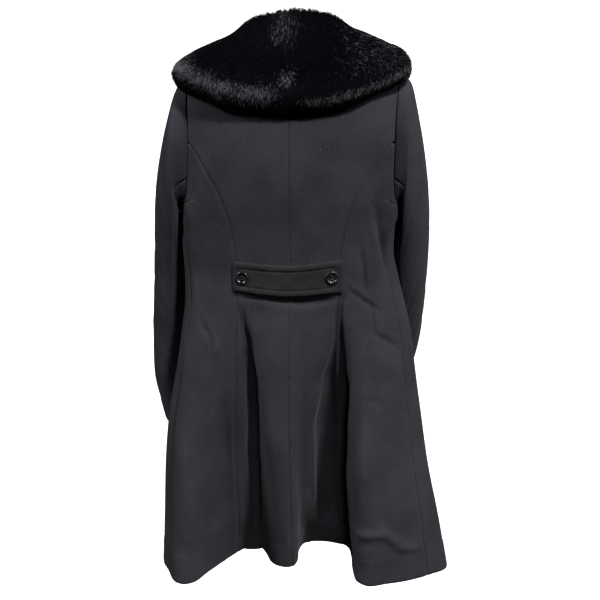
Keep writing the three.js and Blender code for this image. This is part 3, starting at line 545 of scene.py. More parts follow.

# %% [markdown]
# ## Folds and creases laid on one by one
# The tube and the hem line already give the big folds. What makes cloth look sewn and hung
# is smaller: a soft valley along every seam, where the edges are turned in, creases that
# run from a seam and fade, and a hem that shows its turned-up edge. Each crease is a soft
# trough or ridge along a short line, given in the plane of the back or the front. The last
# table has the deep pockets of the skirt's two valleys and the flat cloth beside them, with
# steeper sides, as the cloth nearly rolls under itself there.

# %% Creases
CREASE_COLUMNS = "x1 z1 x2 z2 wide1 wide2 high1 high2 right"
CREASES = {
    "back": table(CREASE_COLUMNS, [
        # Upper back and the armholes
        (178, -176, 181, -262, 16, 16, -0.6, -2.6, 1), (123, -165, 131, -231, 16, 14, 1.5, 1.0, 1),
        (147, -292, 112, -298, 6, 5, -0.6, -0.6, 1), (-9, -215, -10, -286, 11, 12, 1.0, 1.2, 1),
        (-19, -281, -39, -318, 12, 14, 1.1, 1.4, 1), (-150, -186, -156, -290, 18, 16, -1.0, -3.6, 0.6),
        (-137, -206, -150, -282, 15, 14, -0.6, -2.6, 1), (-184, -210, -178, -300, 9, 9, 3.0, 4.6, 0.7),
        (186, -262, 178, -318, 10, 9, 4.0, 1.0, 1),
        (20, -120, 70, -190, 26, 26, -1.2, -1.2, 1), (-30, -130, -74, -196, 24, 24, -1.2, -1.2, 1),
        (-106, -276, -88, -330, 10, 12, 1.0, 1.4, 1),
        # Waist on the right: a deep slanting fold, the ridges beside it and a second trough
        (-150, -276, -168, -385, 6, 5, -8.0, -11.0, 1.1), (-176, -280, -178, -380, 9, 8, 6.0, 5.0, 1),
        (-141, -296, -149, -380, 8, 9, 4.4, 4.6, 0.7), (-124, -340, -130, -436, 8, 9, -4.6, -6.0, 0.6),
        (-104, -404, -140, -430, 5, 5, 2.6, 2.8, 1), (-106, -412, -148, -447, 4, 4, -4.0, -5.0, 1),
        (-140, -430, -149, -488, 4, 4, -4.0, -5.0, 1), (-149, -488, -184, -514, 5, 5, -5.0, -5.0, 1),
        (-162, -440, -166, -478, 14, 14, 2.0, 2.4, 1), (-154, -522, -176, -562, 12, 14, 3.0, 2.2, 1),
        # Waist on the left
        (190, -330, 174, -396, 9, 9, -1.0, -1.6, 1), (176, -392, 170, -470, 12, 12, 1.4, 1.4, 1),
        # Beside the places where the valleys of the skirt start, just under the half belt
        (96, -425, 6, -433, 4, 5, -1.6, -4.5, 1), (6, -434, -88, -426, 6, 6, -4.5, -5.5, 1),
        (60, -434, 56, -470, 16, 12, -2.0, -3.0, 1), (-66, -434, -60, -480, 14, 12, -2.4, -3.0, 1),
        # Left of the skirt: a short crease, and two ridges that meet low down in a V
        (159, -474, 138, -519, 5, 5, -4.0, -5.0, 1), (142, -502, 130, -532, 7, 7, 5.0, 5.0, 1),
        (136, -524, 150, -600, 10, 10, 3.0, 2.2, 0.6), (123, -580, 139, -672, 11, 10, 2.4, 1.8, 0.7),
        (197, -670, 174, -862, 14, 10, 1.5, 7.0, 0.8), (112, -660, 160, -862, 9, 8, -1.5, -5.0, 2.6),
        (96, -700, 136, -850, 14, 14, -2.0, -5.0, 1), (190, -842, 174, -896, 9, 8, 2.4, 2.8, 0.6),
        (172, -560, 178, -690, 16, 16, -2.0, -2.2, 1),
        # The crest between the valleys
        (31, -596, 23, -735, 10, 9, 1.0, 3.0, 0.7), (24, -735, 12, -884, 9, 10, 3.0, 3.0, 0.6),
        (-4, -690, -12, -800, 6, 6, -0.5, -2.6, 1), (-22, -800, -44, -880, 6, 7, -2.6, -3.0, 1),
        # Right of the skirt: long streaks, and broken folds across the corner of the hem
        (-148, -618, -156, -680, 11, 11, 2.4, 2.4, 1), (-171, -746, -191, -838, 12, 12, 2.6, 2.8, 0.7),
        (-143, -600, -163, -617, 7, 7, -2.6, -2.6, 1), (-129, -496, -136, -736, 16, 16, 2.0, 2.4, 0.6),
        (-122, -853, -168, -850, 7, 8, 5.0, 7.0, 1), (-168, -850, -203, -884, 8, 8, 7.0, 7.0, 1),
        (-203, -884, -246, -893, 7, 7, 7.0, 2.0, 1), (-160, -832, -173, -848, 6, 5, 2.4, 2.4, 1),
        (-128, -872, -176, -872, 9, 9, -1.0, -1.2, 1), (-178, -846, -214, -864, 8, 8, -1.2, -1.4, 1),
        (-256, -893, -286, -884, 6, 6, 3.0, 2.4, 1),
        (-214, -560, -228, -760, 14, 14, -2.2, -2.4, 1),
    ]),
    "front": table(CREASE_COLUMNS, [
        (-150, -255, -120, -330, 13, 11, -2.6, -3.2, 1), (150, -262, 120, -330, 13, 11, -2.6, -3.2, 1),
        (-170, -300, -140, -352, 10, 8, 2.4, 2.6, 1), (168, -320, 140, -372, 10, 8, 2.4, 2.6, 1),
        (-60, -340, -30, -372, 12, 10, -2.0, -2.0, 1), (66, -348, 40, -380, 12, 10, -2.0, -2.0, 1),
        (-120, -420, -132, -620, 14, 20, -3.0, -4.2, 1), (112, -420, 124, -640, 14, 20, -3.0, -4.2, 1),
        (-70, -440, -62, -640, 20, 22, 2.4, 2.6, 1), (74, -460, 70, -700, 20, 22, 2.4, 2.6, 1),
        (-24, -280, -20, -350, 10, 10, 1.2, 1.2, 1), (-150, -830, -220, -880, 10, 9, 3.6, 4.0, 1),
        (-40, -140, -80, -220, 24, 24, -1.6, -1.6, 1), (44, -140, 84, -220, 24, 24, -1.6, -1.6, 1),
        (-190, -560, -204, -760, 16, 18, -2.4, -3.0, 1), (196, -520, 206, -740, 14, 16, -2.2, -3.0, 1),
        (150, -700, 176, -860, 22, 12, 3.6, 4.4, 0.5), (206, -720, 188, -850, 14, 10, 2.6, 3.4, 1),
        (-96, -600, -104, -800, 14, 18, 2.4, 3.2, 0.7), (90, -640, 100, -820, 14, 18, 2.4, 3.2, 0.7),
        (30, -840, 70, -880, 9, 8, 2.6, 2.2, 1), (-60, -860, -20, -884, 9, 8, 2.2, 2.0, 1),
    ]),
}
FOLDS = table(CREASE_COLUMNS, [
    # Left valley: its pocket, the plane that ends sharply beside it, and the crest
    (92, -440, 76, -500, 6, 8, -1.0, -12.0, 1), (76, -500, 72, -590, 8, 10, -12.0, -22.0, 1),
    (72, -590, 74, -740, 10, 12, -22.0, -22.0, 1), (74, -740, 75, -900, 12, 10, -22.0, -4.0, 1),
    (102, -520, 97, -640, 16, 18, 0.5, 5.0, 0.7), (97, -640, 99, -890, 18, 20, 5.0, 7.0, 0.7),
    (30, -560, 26, -700, 20, 20, 0.5, 6.0, 1), (26, -700, 22, -900, 20, 16, 6.0, 1.0, 1),
    # Right valley: its pocket, then the wide cloth with a crisp edge on each side of it
    (-88, -420, -84, -498, 6, 9, -3.0, -18.0, 1), (-84, -498, -78, -590, 9, 23, -18.0, -30.0, 1),
    (-78, -590, -70, -680, 23, 29, -30.0, -34.0, 1), (-70, -680, -68, -890, 29, 28, -34.0, -16.0, 1),
    (-112, -450, -118, -600, 10, 14, 0.5, 10.0, 1.6), (-118, -600, -120, -740, 14, 16, 10.0, 16.0, 1.6),
    (-120, -740, -122, -910, 16, 15, 16.0, 6.0, 1.6),
    (-46, -500, -38, -600, 12, 14, 0.5, 4.0, 0.7), (-38, -600, -32, -720, 14, 16, 4.0, 9.0, 0.7),
    (-32, -720, -29, -900, 16, 17, 9.0, 12.0, 0.7),
])
FADE, WANDER = 30.0, 1.6


def crease_height(rows, x, z, crisp=2.0):
    """Sum of soft ridges: high * exp(-(distance / wide)^crisp) beside each line, with flat
    tops and steeper sides where crisp is over 2. Width and height go from one end's to the
    other's, right widens or narrows the slope on the viewer's right, the line wanders a
    little, and the ridge fades over its ends."""
    dx, dz = rows["x2"] - rows["x1"], rows["z2"] - rows["z1"]
    px, pz = x[..., None] - rows["x1"], z[..., None] - rows["z1"]
    length = np.hypot(dx, dz)
    along = (px * dx + pz * dz) / length**2
    off = (px * dz - pz * dx) / length
    off = off + WANDER * np.sin(along * 4.0 + rows["x1"])
    held = np.clip(along, 0.0, 1.0)
    wide = rows["wide1"] + (rows["wide2"] - rows["wide1"]) * held
    high = rows["high1"] + (rows["high2"] - rows["high1"]) * held
    wide = wide * np.where(off > 0, rows["right"], 1.0)
    soft = np.minimum(FADE / length, 0.5)
    ends = ease((along + soft) / (2 * soft)) * ease((1 + soft - along) / (2 * soft))
    return (high * np.exp(-(np.abs(off / wide) ** crisp)) * ends).sum(axis=-1)


rng = np.random.default_rng(7)
ripple_rows = table("kx kz phase high", [
    (rng.normal(0, 0.022), rng.normal(0, 0.012), rng.uniform(0, 6.28),
     rng.uniform(0.15, 0.42)) for _ in range(26)])


def ripple(x, z, turn=0.0):
    """Slow uneven swells of a few tenths of a millimetre, a sum of plane waves."""
    wave = x[..., None] * ripple_rows["kx"] + z[..., None] * ripple_rows["kz"]
    return (ripple_rows["high"] * np.sin(wave + ripple_rows["phase"] + turn)).sum(axis=-1)


SEAM_DIP, SEAM_WIDE = 0.9, 1.5
SEAM_SWELL, SWELL_AT, SWELL_WIDE = 0.3, 8.0, 5.0


def seam_valley(distance):
    """Height beside a seam: a narrow dip at the stitches and a faint swell over the
    turned-in allowance beside it."""
    dip = -SEAM_DIP * np.exp(-((distance / SEAM_WIDE) ** 2))
    return dip + SEAM_SWELL * np.exp(-(((distance - SWELL_AT) / SWELL_WIDE) ** 2))


HEM_TURN, HEM_FULL, HEM_DIP = 48.0, 0.8, 0.3
EDGE_ROUND, EDGE_DROP = 2.2, 0.9


def rounded_edge(distance):
    """Drop of the cloth over its own folded edge."""
    return EDGE_DROP * np.exp(-((distance / EDGE_ROUND) ** 2))


def hem_relief(above):
    """Height near the hem: the turned-up cloth makes the last five centimetres a little
    fuller, there is a faint dip where it ends, and the fold itself is rounded."""
    full = HEM_FULL * (1 - ease((above - HEM_TURN) / 7.0))
    dip = HEM_DIP * np.exp(-(((above - HEM_TURN - 4) / 3) ** 2))
    return full - dip - rounded_edge(above)


# %% [markdown]
# ## Panels of the body
# Each panel is a grid between two seams. Its columns are closer beside the seams, where the
# valley is narrow, and its rows are closer at the hem.

# %% Body panels
SEAM_GAP = 0.12
FOLD_CRISP = 6.0
SIDE_FADE, FOLD_FADE, NECK_FADE, SEAM_QUIET = 14.0, 60.0, 60.0, 0.35


def spread(count, edge=0.55):
    """Shares from 0 to 1 that crowd towards both ends."""
    t = np.linspace(0, 1, count)
    return (1 - edge) * t + edge * ease(t)


SKIRT_TOP = -428.0
LEVELS = np.unique(np.concatenate([
    np.linspace(0, SHOULDER_TIP, 14), np.linspace(SHOULDER_TIP, SKIRT_TOP, 82),
    HEM + (SKIRT_TOP - HEM) * (1 - spread(108, 0.25)),
]))[::-1]


def finish_piece(piece, material, node=None):
    """Give a piece its material and slot and let it ride the coat, in a solid's place."""
    piece.data.materials.append(material)
    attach(piece, "root")
    if node:
        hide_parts(node)


def finish_cloth(piece, grid, node, material=WOOL):
    width, length, area = measure_cut(grid)
    finish_piece(piece, material, node)
    print(f"{piece.name}: {width:.3f} x {length:.3f} m, {area:.4f} m2")


BACK_EDGE, FRONT_EDGE = 2.0, 2.001
armhole_levels = np.linspace(SHOULDER_TIP, ARMHOLE_BOTTOM, 90)
armhole = np.concatenate([coat_point(place, armhole_levels) for place in (
    BACK_EDGE, -BACK_EDGE, FRONT_EDGE, -FRONT_EDGE)])


def armhole_distance(points):
    """Distance from the nearest point of the armholes' edges."""
    nearest = np.full(points.shape[:2], np.inf)
    for point in armhole:
        nearest = np.minimum(nearest, np.linalg.norm(points - point, axis=-1))
    return nearest


def body_panel(node, places, is_front, sinks=0.0, seam_ends=(True, True)):
    """A panel over a grid of places and levels. Heights are laid on along the coat's own
    outward direction, and the inner face follows without the dips. Where the front laps,
    sinks moves it in, and seam_ends says at which side edges there is a seam."""
    place, level = places
    base, normal = coat_point(place, level), coat_normal(place, level)
    step = np.linalg.norm(np.diff(base, axis=1), axis=2)
    run = np.concatenate([np.zeros((len(base), 1)), np.cumsum(step, axis=1)], axis=1)
    x, z = base[..., 0], base[..., 2]
    height = ripple(x, z, float(is_front)) + crease_height(
        CREASES["front" if is_front else "back"], x, z)
    above = level - HEM
    # A side seam and an armhole join pieces with creases of their own, so all fade there
    side_run = np.minimum(run if is_front else run[:, -1:] - run, armhole_distance(base))
    joins_side = np.abs(place[:, :1] if is_front else place[:, -1:]) > 1.5
    height = height * np.where(joins_side, ease(side_run / SIDE_FADE), 1.0)
    if not is_front:
        height = height + crease_height(FOLDS, x, z, FOLD_CRISP) * ease(above / FOLD_FADE)
    # Creases cross a seam, but both panels have to meet there at one height
    quiet = 1 - SEAM_QUIET * np.exp(-((np.minimum(run, run[:, -1:] - run) / 5.0) ** 2))
    height = height * quiet * ease(-level / NECK_FADE)
    base = base - normal * np.broadcast_to(sinks, level.shape)[..., None]
    groove = hem_relief(above)
    if seam_ends[0]:
        groove = groove + seam_valley(run)
    if seam_ends[1]:
        groove = groove + seam_valley(run[:, -1:] - run)
    outer = base + normal * (height + groove)[..., None]
    inner = base + normal * (height - WALL)[..., None]
    piece = wall_mesh("cloth_" + node, outer, inner)
    finish_cloth(piece, outer, node)


def seam_places(start, end, levels, count):
    """Places from one seam to the next, drawn in by half a seam gap at both."""
    wide = np.linalg.norm(coat_point(start, levels) - coat_point(end, levels), axis=-1)
    draw = (SEAM_GAP / 2 / wide)[:, None]
    share = draw + (1 - 2 * draw) * spread(count)
    return start + (end - start) * share, np.broadcast_to(levels[:, None], share.shape)


SIDE_TOP = -162.0
SIDE_LEVELS = LEVELS[LEVELS <= SIDE_TOP]
for side, sign in (("left", 1.0), ("right", -1.0)):
    body_panel(f"back_center_{side}", seam_places(0.0, sign, LEVELS, 38), False)
    body_panel(f"back_side_{side}", seam_places(sign, 2 * sign, SIDE_LEVELS, 44), False)

# %% [markdown]
# ## Fronts
# The fronts go from the side seam round to the middle and over it, the wearer's right over
# the left. Nothing of them shows in the photograph, so they are cut plainly, one piece each.

# %% Fronts
LAP, LAP_TURN, LAP_SINK = 28.0, 16.0, WALL + 1.6
MAIN_COLUMNS, TURN_COLUMNS, LAP_COLUMNS = 46, 4, 12


def front_place(sign, across, level):
    """Place on one front at a distance from the middle line."""
    width = BODY["left" if sign > 0 else "right"](level)
    turn = np.arcsin((across / width) ** (SECTION_POWER / 2))
    start = np.abs(seam_angle(2.5 * sign, level))
    return 4 - 2 * turn / (np.pi - start)


def front_panel(node, sign):
    """A front from its side seam to the far side of the lap: main cloth, turn and lap."""
    turned = front_place(sign, LAP + LAP_TURN, LEVELS)
    near, far = front_place(sign, LAP, LEVELS), front_place(-sign, LAP, LEVELS)
    start = np.full_like(LEVELS, FRONT_EDGE)
    wide = np.linalg.norm(coat_point(sign * start, LEVELS) - coat_point(sign * turned, LEVELS),
                          axis=-1)
    start = start + SEAM_GAP / 2 / wide
    turn_share = np.linspace(0, 1, TURN_COLUMNS + 1)[1:]
    lap_share = np.linspace(0, 1, LAP_COLUMNS + 1)[1:]
    main = start[:, None] + (turned - start)[:, None] * spread(MAIN_COLUMNS, 0.4)
    step = turned[:, None] + (near - turned)[:, None] * turn_share
    over = near[:, None] + (8 - far - near)[:, None] * lap_share
    place = np.concatenate([main, step, over], axis=1)
    # The left front steps down in the turn and lies under the right one from there on
    sink = LAP_SINK * (sign > 0) * np.concatenate([
        np.zeros(MAIN_COLUMNS), ease(turn_share), np.ones(LAP_COLUMNS)])
    # A place past the middle of the front goes on over the other side
    place = sign * place
    level = np.broadcast_to(LEVELS[:, None], place.shape)
    body_panel(node, (place, level), True, sink, (True, False))


front_panel("front_left", 1.0)
front_panel("front_right", -1.0)

# %% [markdown]
# ## Sleeves
# A set-in sleeve is a bent tube of two pieces. The tube is a table of rings: the outer and
# the inner line across and in height, how far the ring's middle lies forward, and its half
# depth. The first ring is the armhole itself, so the sleeve meets the body all round.

# %% Sleeve rings
SLEEVES = {
    "left": table("outX outZ inX inZ forward deep", [
        (201, -51, 209, -268, 2, 56), (211, -62, 209, -277, 4, 61),
        (220, -91, 208, -288, 8, 63), (234, -135, 207, -303, 14, 63),
        (247, -188, 206, -322, 22, 61), (258, -243, 206, -345, 32, 59),
        (265, -300, 206, -374, 43, 57), (271, -358, 207, -408, 53, 55),
        (276, -416, 209, -446, 61, 53), (281, -476, 210, -492, 70, 51),
        (285, -538, 215, -544, 80, 50), (286, -600, 217, -600, 90, 49),
        (278, -648, 212, -645, 98, 48), (268, -694, 202, -690, 104, 48),
    ]),
    "right": table("outX outZ inX inZ forward deep", [
        (201, -51, 193, -268, 2, 56), (209, -64, 189.5, -277, 4, 60),
        (214, -94, 187.5, -288, 8, 62), (224, -136, 184.5, -303, 14, 62),
        (232, -188, 180, -322, 22, 60), (239, -242, 176, -345, 32, 58),
        (243, -298, 171, -374, 44, 56), (244, -354, 169, -404, 56, 54),
        (243, -406, 170, -436, 68, 53), (241, -456, 170, -470, 84, 52),
        (237, -506, 170, -510, 104, 50), (228, -556, 160, -552, 128, 48),
        (213, -604, 147, -594, 156, 47), (194, -650, 130, -636, 184, 46),
    ]),
}
SLEEVE_CLEAR = 2.0
HUG_DEEP, HUG_START, HUG_END, HUG_OVER = 26.0, 20.0, -430.0, 70.0
RING_GAP = 0.3
ROUND = 96
EASE_ROWS, EASE_PASSES = 46, 60
turns = np.arange(ROUND) * 2 * np.pi / ROUND


def body_half_width(sign, y, z):
    """Half width of the plain body at a depth and a height, none where it isn't as deep."""
    width = BODY["left" if sign > 0 else "right"](z)
    depth = np.where(y > 0, BODY["back"](z), BODY["front"](z))
    share = np.minimum(np.abs(y) / depth, 1.0)
    return width * (1 - share**SECTION_POWER) ** (1 / SECTION_POWER)


def sleeve_rings(side, sign):
    """All rings as one array: the armhole's ring, then middle + out cos(turn) + behind
    sin(turn) for each row, kept a little clear of the body."""
    level = ARMHOLE_MIDDLE + ARMHOLE_REACH * np.cos(turns)
    place = sign * np.where(turns > np.pi, FRONT_EDGE, BACK_EDGE)
    first = coat_point(place, level) + RING_GAP * coat_normal(place, level)
    outwards = first - first.mean(axis=0)
    outwards[:, 0] = 0
    outwards = unit(outwards)
    first = first - RING_GAP * outwards
    rows = SLEEVES[side]
    fall = -np.gradient((rows["outZ"] + rows["inZ"]) / 2)
    lean = np.arctan2(np.gradient(rows["forward"]), fall)
    zero = np.zeros_like(lean)
    out = np.stack([sign * (rows["outX"] - rows["inX"]) / 2, zero,
                    (rows["outZ"] - rows["inZ"]) / 2], axis=1)
    middle = np.stack([sign * (rows["outX"] + rows["inX"]) / 2, -rows["forward"],
                       (rows["outZ"] + rows["inZ"]) / 2], axis=1)
    behind = np.stack([zero, rows["deep"] * np.cos(lean), -rows["deep"] * np.sin(lean)], axis=1)
    rings = (middle[:, None] + out[:, None] * np.cos(turns)[:, None]
             + behind[:, None] * np.sin(turns)[:, None])
    return first, outwards, rings


def through_rows(grid, per_span):
    """A smooth surface through rows of points: a Catmull-Rom curve along each column."""
    count, around = grid.shape[:2]
    flat = grid.reshape(count, -1)
    p = np.concatenate([2 * flat[:1] - flat[1:2], flat, 2 * flat[-1:] - flat[-2:-1]])
    a, b, c, d = p[:-3], p[1:-2], p[2:-1], p[3:]
    t = (np.arange(per_span) / per_span)[:, None, None]
    span = hermite(b, c, (c - a) / 2, (d - b) / 2, t)
    rows = span.transpose(1, 0, 2).reshape(-1, flat.shape[1])
    return np.concatenate([rows, flat[-1:]]).reshape(-1, around, 3)


# %% [markdown]
# ## Creases of the sleeves
# A sleeve that hangs bent folds at the inside of the elbow and wrinkles along the forearm.
# Here a crease is given by where it is: the turn round the sleeve (0 is the outer line, a
# quarter is behind, a half is the inner line) and the length down it.

# %% Sleeve pieces
SLEEVE_CREASES = {
    "left": table("turn down slant wide high reach", [
        (0.20, 235, 40, 9, -1.8, 0.16), (0.16, 300, -30, 10, -2.2, 0.18),
        (0.30, 330, 60, 9, 1.8, 0.14), (0.10, 372, -40, 9, -1.8, 0.15),
        (0.28, 420, 50, 10, -1.8, 0.15), (0.42, 300, 30, 8, -2.0, 0.12),
        (0.46, 342, 20, 8, 1.6, 0.10), (0.05, 470, -30, 10, 1.4, 0.12),
        (0.72, 310, 30, 10, -2.2, 0.18), (0.66, 350, -30, 9, 1.8, 0.16),
        (0.22, 120, 70, 18, -1.4, 0.14), (0.80, 160, 60, 16, -1.4, 0.16),
        (0.18, 520, 30, 10, -1.2, 0.14), (0.74, 470, -40, 12, -1.6, 0.16),
    ]),
    "right": table("turn down slant wide high reach", [
        (0.16, 96, 46, 8, 1.8, 0.10), (0.20, 250, 40, 9, -2.0, 0.16),
        (0.30, 296, -50, 9, 2.0, 0.14), (0.26, 330, 60, 9, -2.6, 0.17),
        (0.22, 366, -50, 8, 2.2, 0.15), (0.34, 392, 46, 8, -2.8, 0.15),
        (0.16, 415, 40, 8, -2.4, 0.14), (0.30, 446, -40, 8, 2.2, 0.13),
        (0.10, 470, 30, 9, -2.0, 0.14), (0.44, 330, 30, 8, -2.2, 0.12),
        (0.46, 410, 24, 8, 2.0, 0.10), (0.70, 330, 40, 10, -2.4, 0.18),
        (0.66, 380, -40, 9, 2.0, 0.16), (0.76, 440, 40, 10, -2.0, 0.18),
        (0.24, 520, 30, 9, -1.6, 0.14), (0.22, 140, 60, 16, -1.4, 0.16),
    ]),
}


def sleeve_crease_height(rows, turn, down):
    """Ridges across the sleeve: the line lies at down + slant times the turned distance."""
    turned = (turn[..., None] - rows["turn"] + 0.5) % 1.0 - 0.5
    off = down[..., None] - rows["down"] - rows["slant"] * turned * 4
    fade = np.exp(-((turned / rows["reach"]) ** 2))
    return (rows["high"] * np.exp(-((off / rows["wide"]) ** 2)) * fade).sum(axis=-1)


SLEEVE_SHARE = {"left": 0.6, "right": 0.9}
SLEEVE_SEAMS = (7 / 20, 14 / 20)
SEWN_TOP, SEWN_LOW = 0.15, 0.8
CUFF_TURN, CUFF_FULL = 40.0, 0.7
ARMHOLE_FADE, ARMHOLE_SEAM = 40.0, 30.0
# The sleeves take their ripples from other parts of the field than the body
RIPPLE_SHIFT, RIPPLE_TURN = 200, 2.0
RINGS_PER_ROW = 9


def sleeve_pieces(side, sign):
    """The two pieces of a sleeve: the tube of its rings, drawn round the body, with creases
    and a turned cuff, cut along its two seams."""
    first, outwards, rings = sleeve_rings(side, sign)
    body = through_rows(np.concatenate([first[None], rings]), RINGS_PER_ROW)
    below = body[..., 2] < ARMHOLE_BOTTOM
    least = body_half_width(sign, body[..., 1], body[..., 2]) + SLEEVE_CLEAR
    # The front of the inner side is drawn round the body, so no light comes through there
    hug = HUG_DEEP * 2 * np.maximum(-np.cos(turns), 0) * np.maximum(-np.sin(turns), 0)
    hug = hug * ease((ARMHOLE_BOTTOM - body[..., 2]) / HUG_START)
    hug = hug * ease((body[..., 2] - HUG_END) / HUG_OVER)
    kept = sign * np.maximum(sign * body[..., 0] - hug, least)
    body[..., 0] = np.where(below, kept, body[..., 0])
    # The first rings turn from the armhole's shape into the tube's, eased row by row
    for _ in range(EASE_PASSES):
        near = body[1:EASE_ROWS]
        mean = 0.5 * near + 0.25 * (body[:EASE_ROWS - 1] + body[2:EASE_ROWS + 1])
        mean[..., 0] = np.where(below[1:EASE_ROWS], sign * np.maximum(
            sign * mean[..., 0], least[1:EASE_ROWS]), mean[..., 0])
        body[1:EASE_ROWS] = mean
    wrapped = np.concatenate([body[:, -1:], body, body[:, :1]], axis=1)
    round_step = wrapped[:, 2:] - wrapped[:, :-2]
    normal = unit(np.cross(round_step, np.gradient(body, axis=0)))
    inward = np.einsum("ijk,ijk->ij", normal, body - body.mean(axis=1, keepdims=True)) < 0
    normal = np.where(inward[..., None], -normal, normal)
    blend = ease(np.arange(len(body)) / RINGS_PER_ROW)[:, None, None]
    normal = unit(normal * blend + outwards[None] * (1 - blend))
    step = np.linalg.norm(np.diff(body, axis=0), axis=2)
    down = np.concatenate([np.zeros((1, ROUND)), np.cumsum(step, axis=0)])
    turn = np.broadcast_to(turns / (2 * np.pi), down.shape)
    height = sleeve_crease_height(SLEEVE_CREASES[side], turn, down)
    height = height * SLEEVE_SHARE[side]
    height = height + ripple(body[..., 1] + RIPPLE_SHIFT * sign, body[..., 2], RIPPLE_TURN)
    height = height * ease(down / ARMHOLE_FADE)
    cuff = down[-1:] - down
    height = height + CUFF_FULL * (1 - ease((cuff - CUFF_TURN) / 6)) - rounded_edge(cuff)
    height = height + np.where(down < ARMHOLE_SEAM, seam_valley(down) * 0.5, 0.0)
    outer = body + normal * height[..., None]
    inner = body + normal * (np.minimum(height, 1.0) * blend[..., 0] - WALL)[..., None]
    cuts = [round(share * ROUND) for share in SLEEVE_SEAMS]
    under = np.arange(cuts[0], cuts[1] + 1)
    top = np.arange(cuts[1], cuts[0] + ROUND + 1) % ROUND
    for name, columns in (("top", top), ("under", under)):
        face, back = outer[:, columns].copy(), inner[:, columns].copy()
        run = np.concatenate([np.zeros((len(face), 1)), np.cumsum(
            np.linalg.norm(np.diff(face, axis=1), axis=2), axis=1)], axis=1)
        groove = seam_valley(run) + seam_valley(run[:, -1:] - run)
        sewn = SEWN_TOP + (SEWN_LOW - SEWN_TOP) * ease((down[:, columns] - 20) / 80)
        face = face + normal[:, columns] * (groove * sewn)[..., None]
        for grid in (face, back):
            for edge, near in ((0, 1), (-1, -2)):
                grid[:, edge] += unit(grid[:, near] - grid[:, edge]) * SEAM_GAP / 2
        node = f"sleeve_{name}_{side}"
        piece = wall_mesh("cloth_" + node, face, back)
        finish_cloth(piece, face, node)


sleeve_pieces("left", 1.0)
sleeve_pieces("right", -1.0)

# %% [markdown]
# ## Fur collar: the skin
# The collar is a big rounded roll of long fur. Under the hairs there is a skin, which
# follows the solid's section but lies lower, as the solid reaches as far as the fur's tips.
# A section goes up the inside of the stand, over the roll, down to the outer edge and back
# underneath to the neck.

# %% Collar skin
COLLAR = tracks(table("angle edge lift reach pile rollOut rollZ", [
    (0, -107, 1.2, 0, 24, 7, 53), (25, -103, 1.5, 0.5, 25, 7.5, 52), (45, -82, 1.8, 1, 26, 8, 51),
    (70, -66, 2.6, 3, 29, 8, 46), (90, -52, 3, 4, 30, 8, 38),
    (108, -56, 3, 4, 28, 8, 25), (119, -70, 3, 2, 27, 8, 11),
    (130, -118, 2.8, 0, 26, 8, -6), (145, -186, 2.8, 0, 25, 8, -30),
    (160, -214, 2.8, 0, 24, 6, -50), (175, -206, 2.8, 0, 22, 5, -64),
]), "angle")
HALVES = {
    "left": {"sign": 1.0, "pile": 0.84, "roll": 0.88, "reach": -3.0, "shorter": 0.0, "seed": 11},
    "right": {"sign": -1.0, "pile": 1.0, "roll": 1.0, "reach": 0.0, "shorter": 12.0, "seed": 23},
}
ANGLE_STEP = 0.02
OVER, UNDER = (0.22, 0.42, 0.62, 0.82), (0.75, 0.5, 0.28, 0.1)
NECK_PILE, EDGE_PILE, COLLAR_SEAT, SHOULDER_NARROW = 0.45, 0.6, 0.4, 16


def collar_rest(half, degrees, share):
    """Point on the cloth under the collar, a share of the way out from the neck, and the
    directions out of the cloth and away from the neck."""
    angle = half["sign"] * np.radians(degrees)
    level = (COLLAR["edge"](degrees) + half["shorter"] * np.sin(np.radians(degrees))) * share
    held = np.minimum(level, -LEVEL_STEP)
    around = plain_point(angle + ANGLE_STEP, held) - plain_point(angle - ANGLE_STEP, held)
    up = plain_point(angle, held + LEVEL_STEP) - plain_point(angle, held - LEVEL_STEP)
    normal = -unit(np.cross(around, up))
    outwards = np.stack([np.sin(angle), np.cos(angle), np.zeros_like(angle)], axis=-1)
    reach = COLLAR["reach"](degrees) + half["reach"] * np.sin(angle) ** SHOULDER_NARROW
    reach = reach * ease((share - 0.5) / 0.5)
    point = plain_point(angle, level) + normal * COLLAR["lift"](degrees)[..., None]
    return point + outwards * reach[..., None], normal, outwards


def collar_section(half, degrees, fullness):
    """All sections as an array [angle, point]: fullness scales the fur's height."""
    neck = plain_point(half["sign"] * np.radians(degrees), np.zeros_like(degrees))
    _, _, outwards = collar_rest(half, degrees, 0.0)
    side = np.sin(np.radians(degrees))
    rise = (COLLAR["rollZ"](degrees) - neck[:, 2]) * (1 - (1 - half["roll"]) * side)
    pile = COLLAR["pile"](degrees) * (1 - (1 - half["pile"]) * side) * fullness
    drop = (1 - fullness) * 20.0
    seat = COLLAR_SEAT + 2 * ease((degrees - 90) / 45)
    roll = COLLAR["rollOut"](degrees)

    def at(out, height):
        height = np.broadcast_to(height, degrees.shape)
        return neck + outwards * np.broadcast_to(out, degrees.shape)[:, None] + np.stack(
            [np.zeros_like(height), np.zeros_like(height), height], axis=1)

    rows = [at(-7, seat), at(-9 + drop * 0.5, np.maximum(rise * 0.4, seat)),
            at(-6 + drop * 0.6, rise * 0.8 - drop * 0.5), at(roll - 3, rise - drop),
            at(roll + 9 - drop * 0.5, rise - 3 - drop)]
    for share in OVER:
        point, normal, _ = collar_rest(half, degrees, share)
        rows.append(point + normal * (pile * (1 + NECK_PILE * (1 - share)))[:, None])
    edge, normal, out = collar_rest(half, degrees, 1.0)
    edge = edge - out * drop * 0.7
    rows += [edge + normal * (pile * EDGE_PILE)[:, None], edge]
    rows += [collar_rest(half, degrees, share)[0] for share in UNDER]
    rows.append(at(2, seat))
    return np.stack(rows, axis=1)


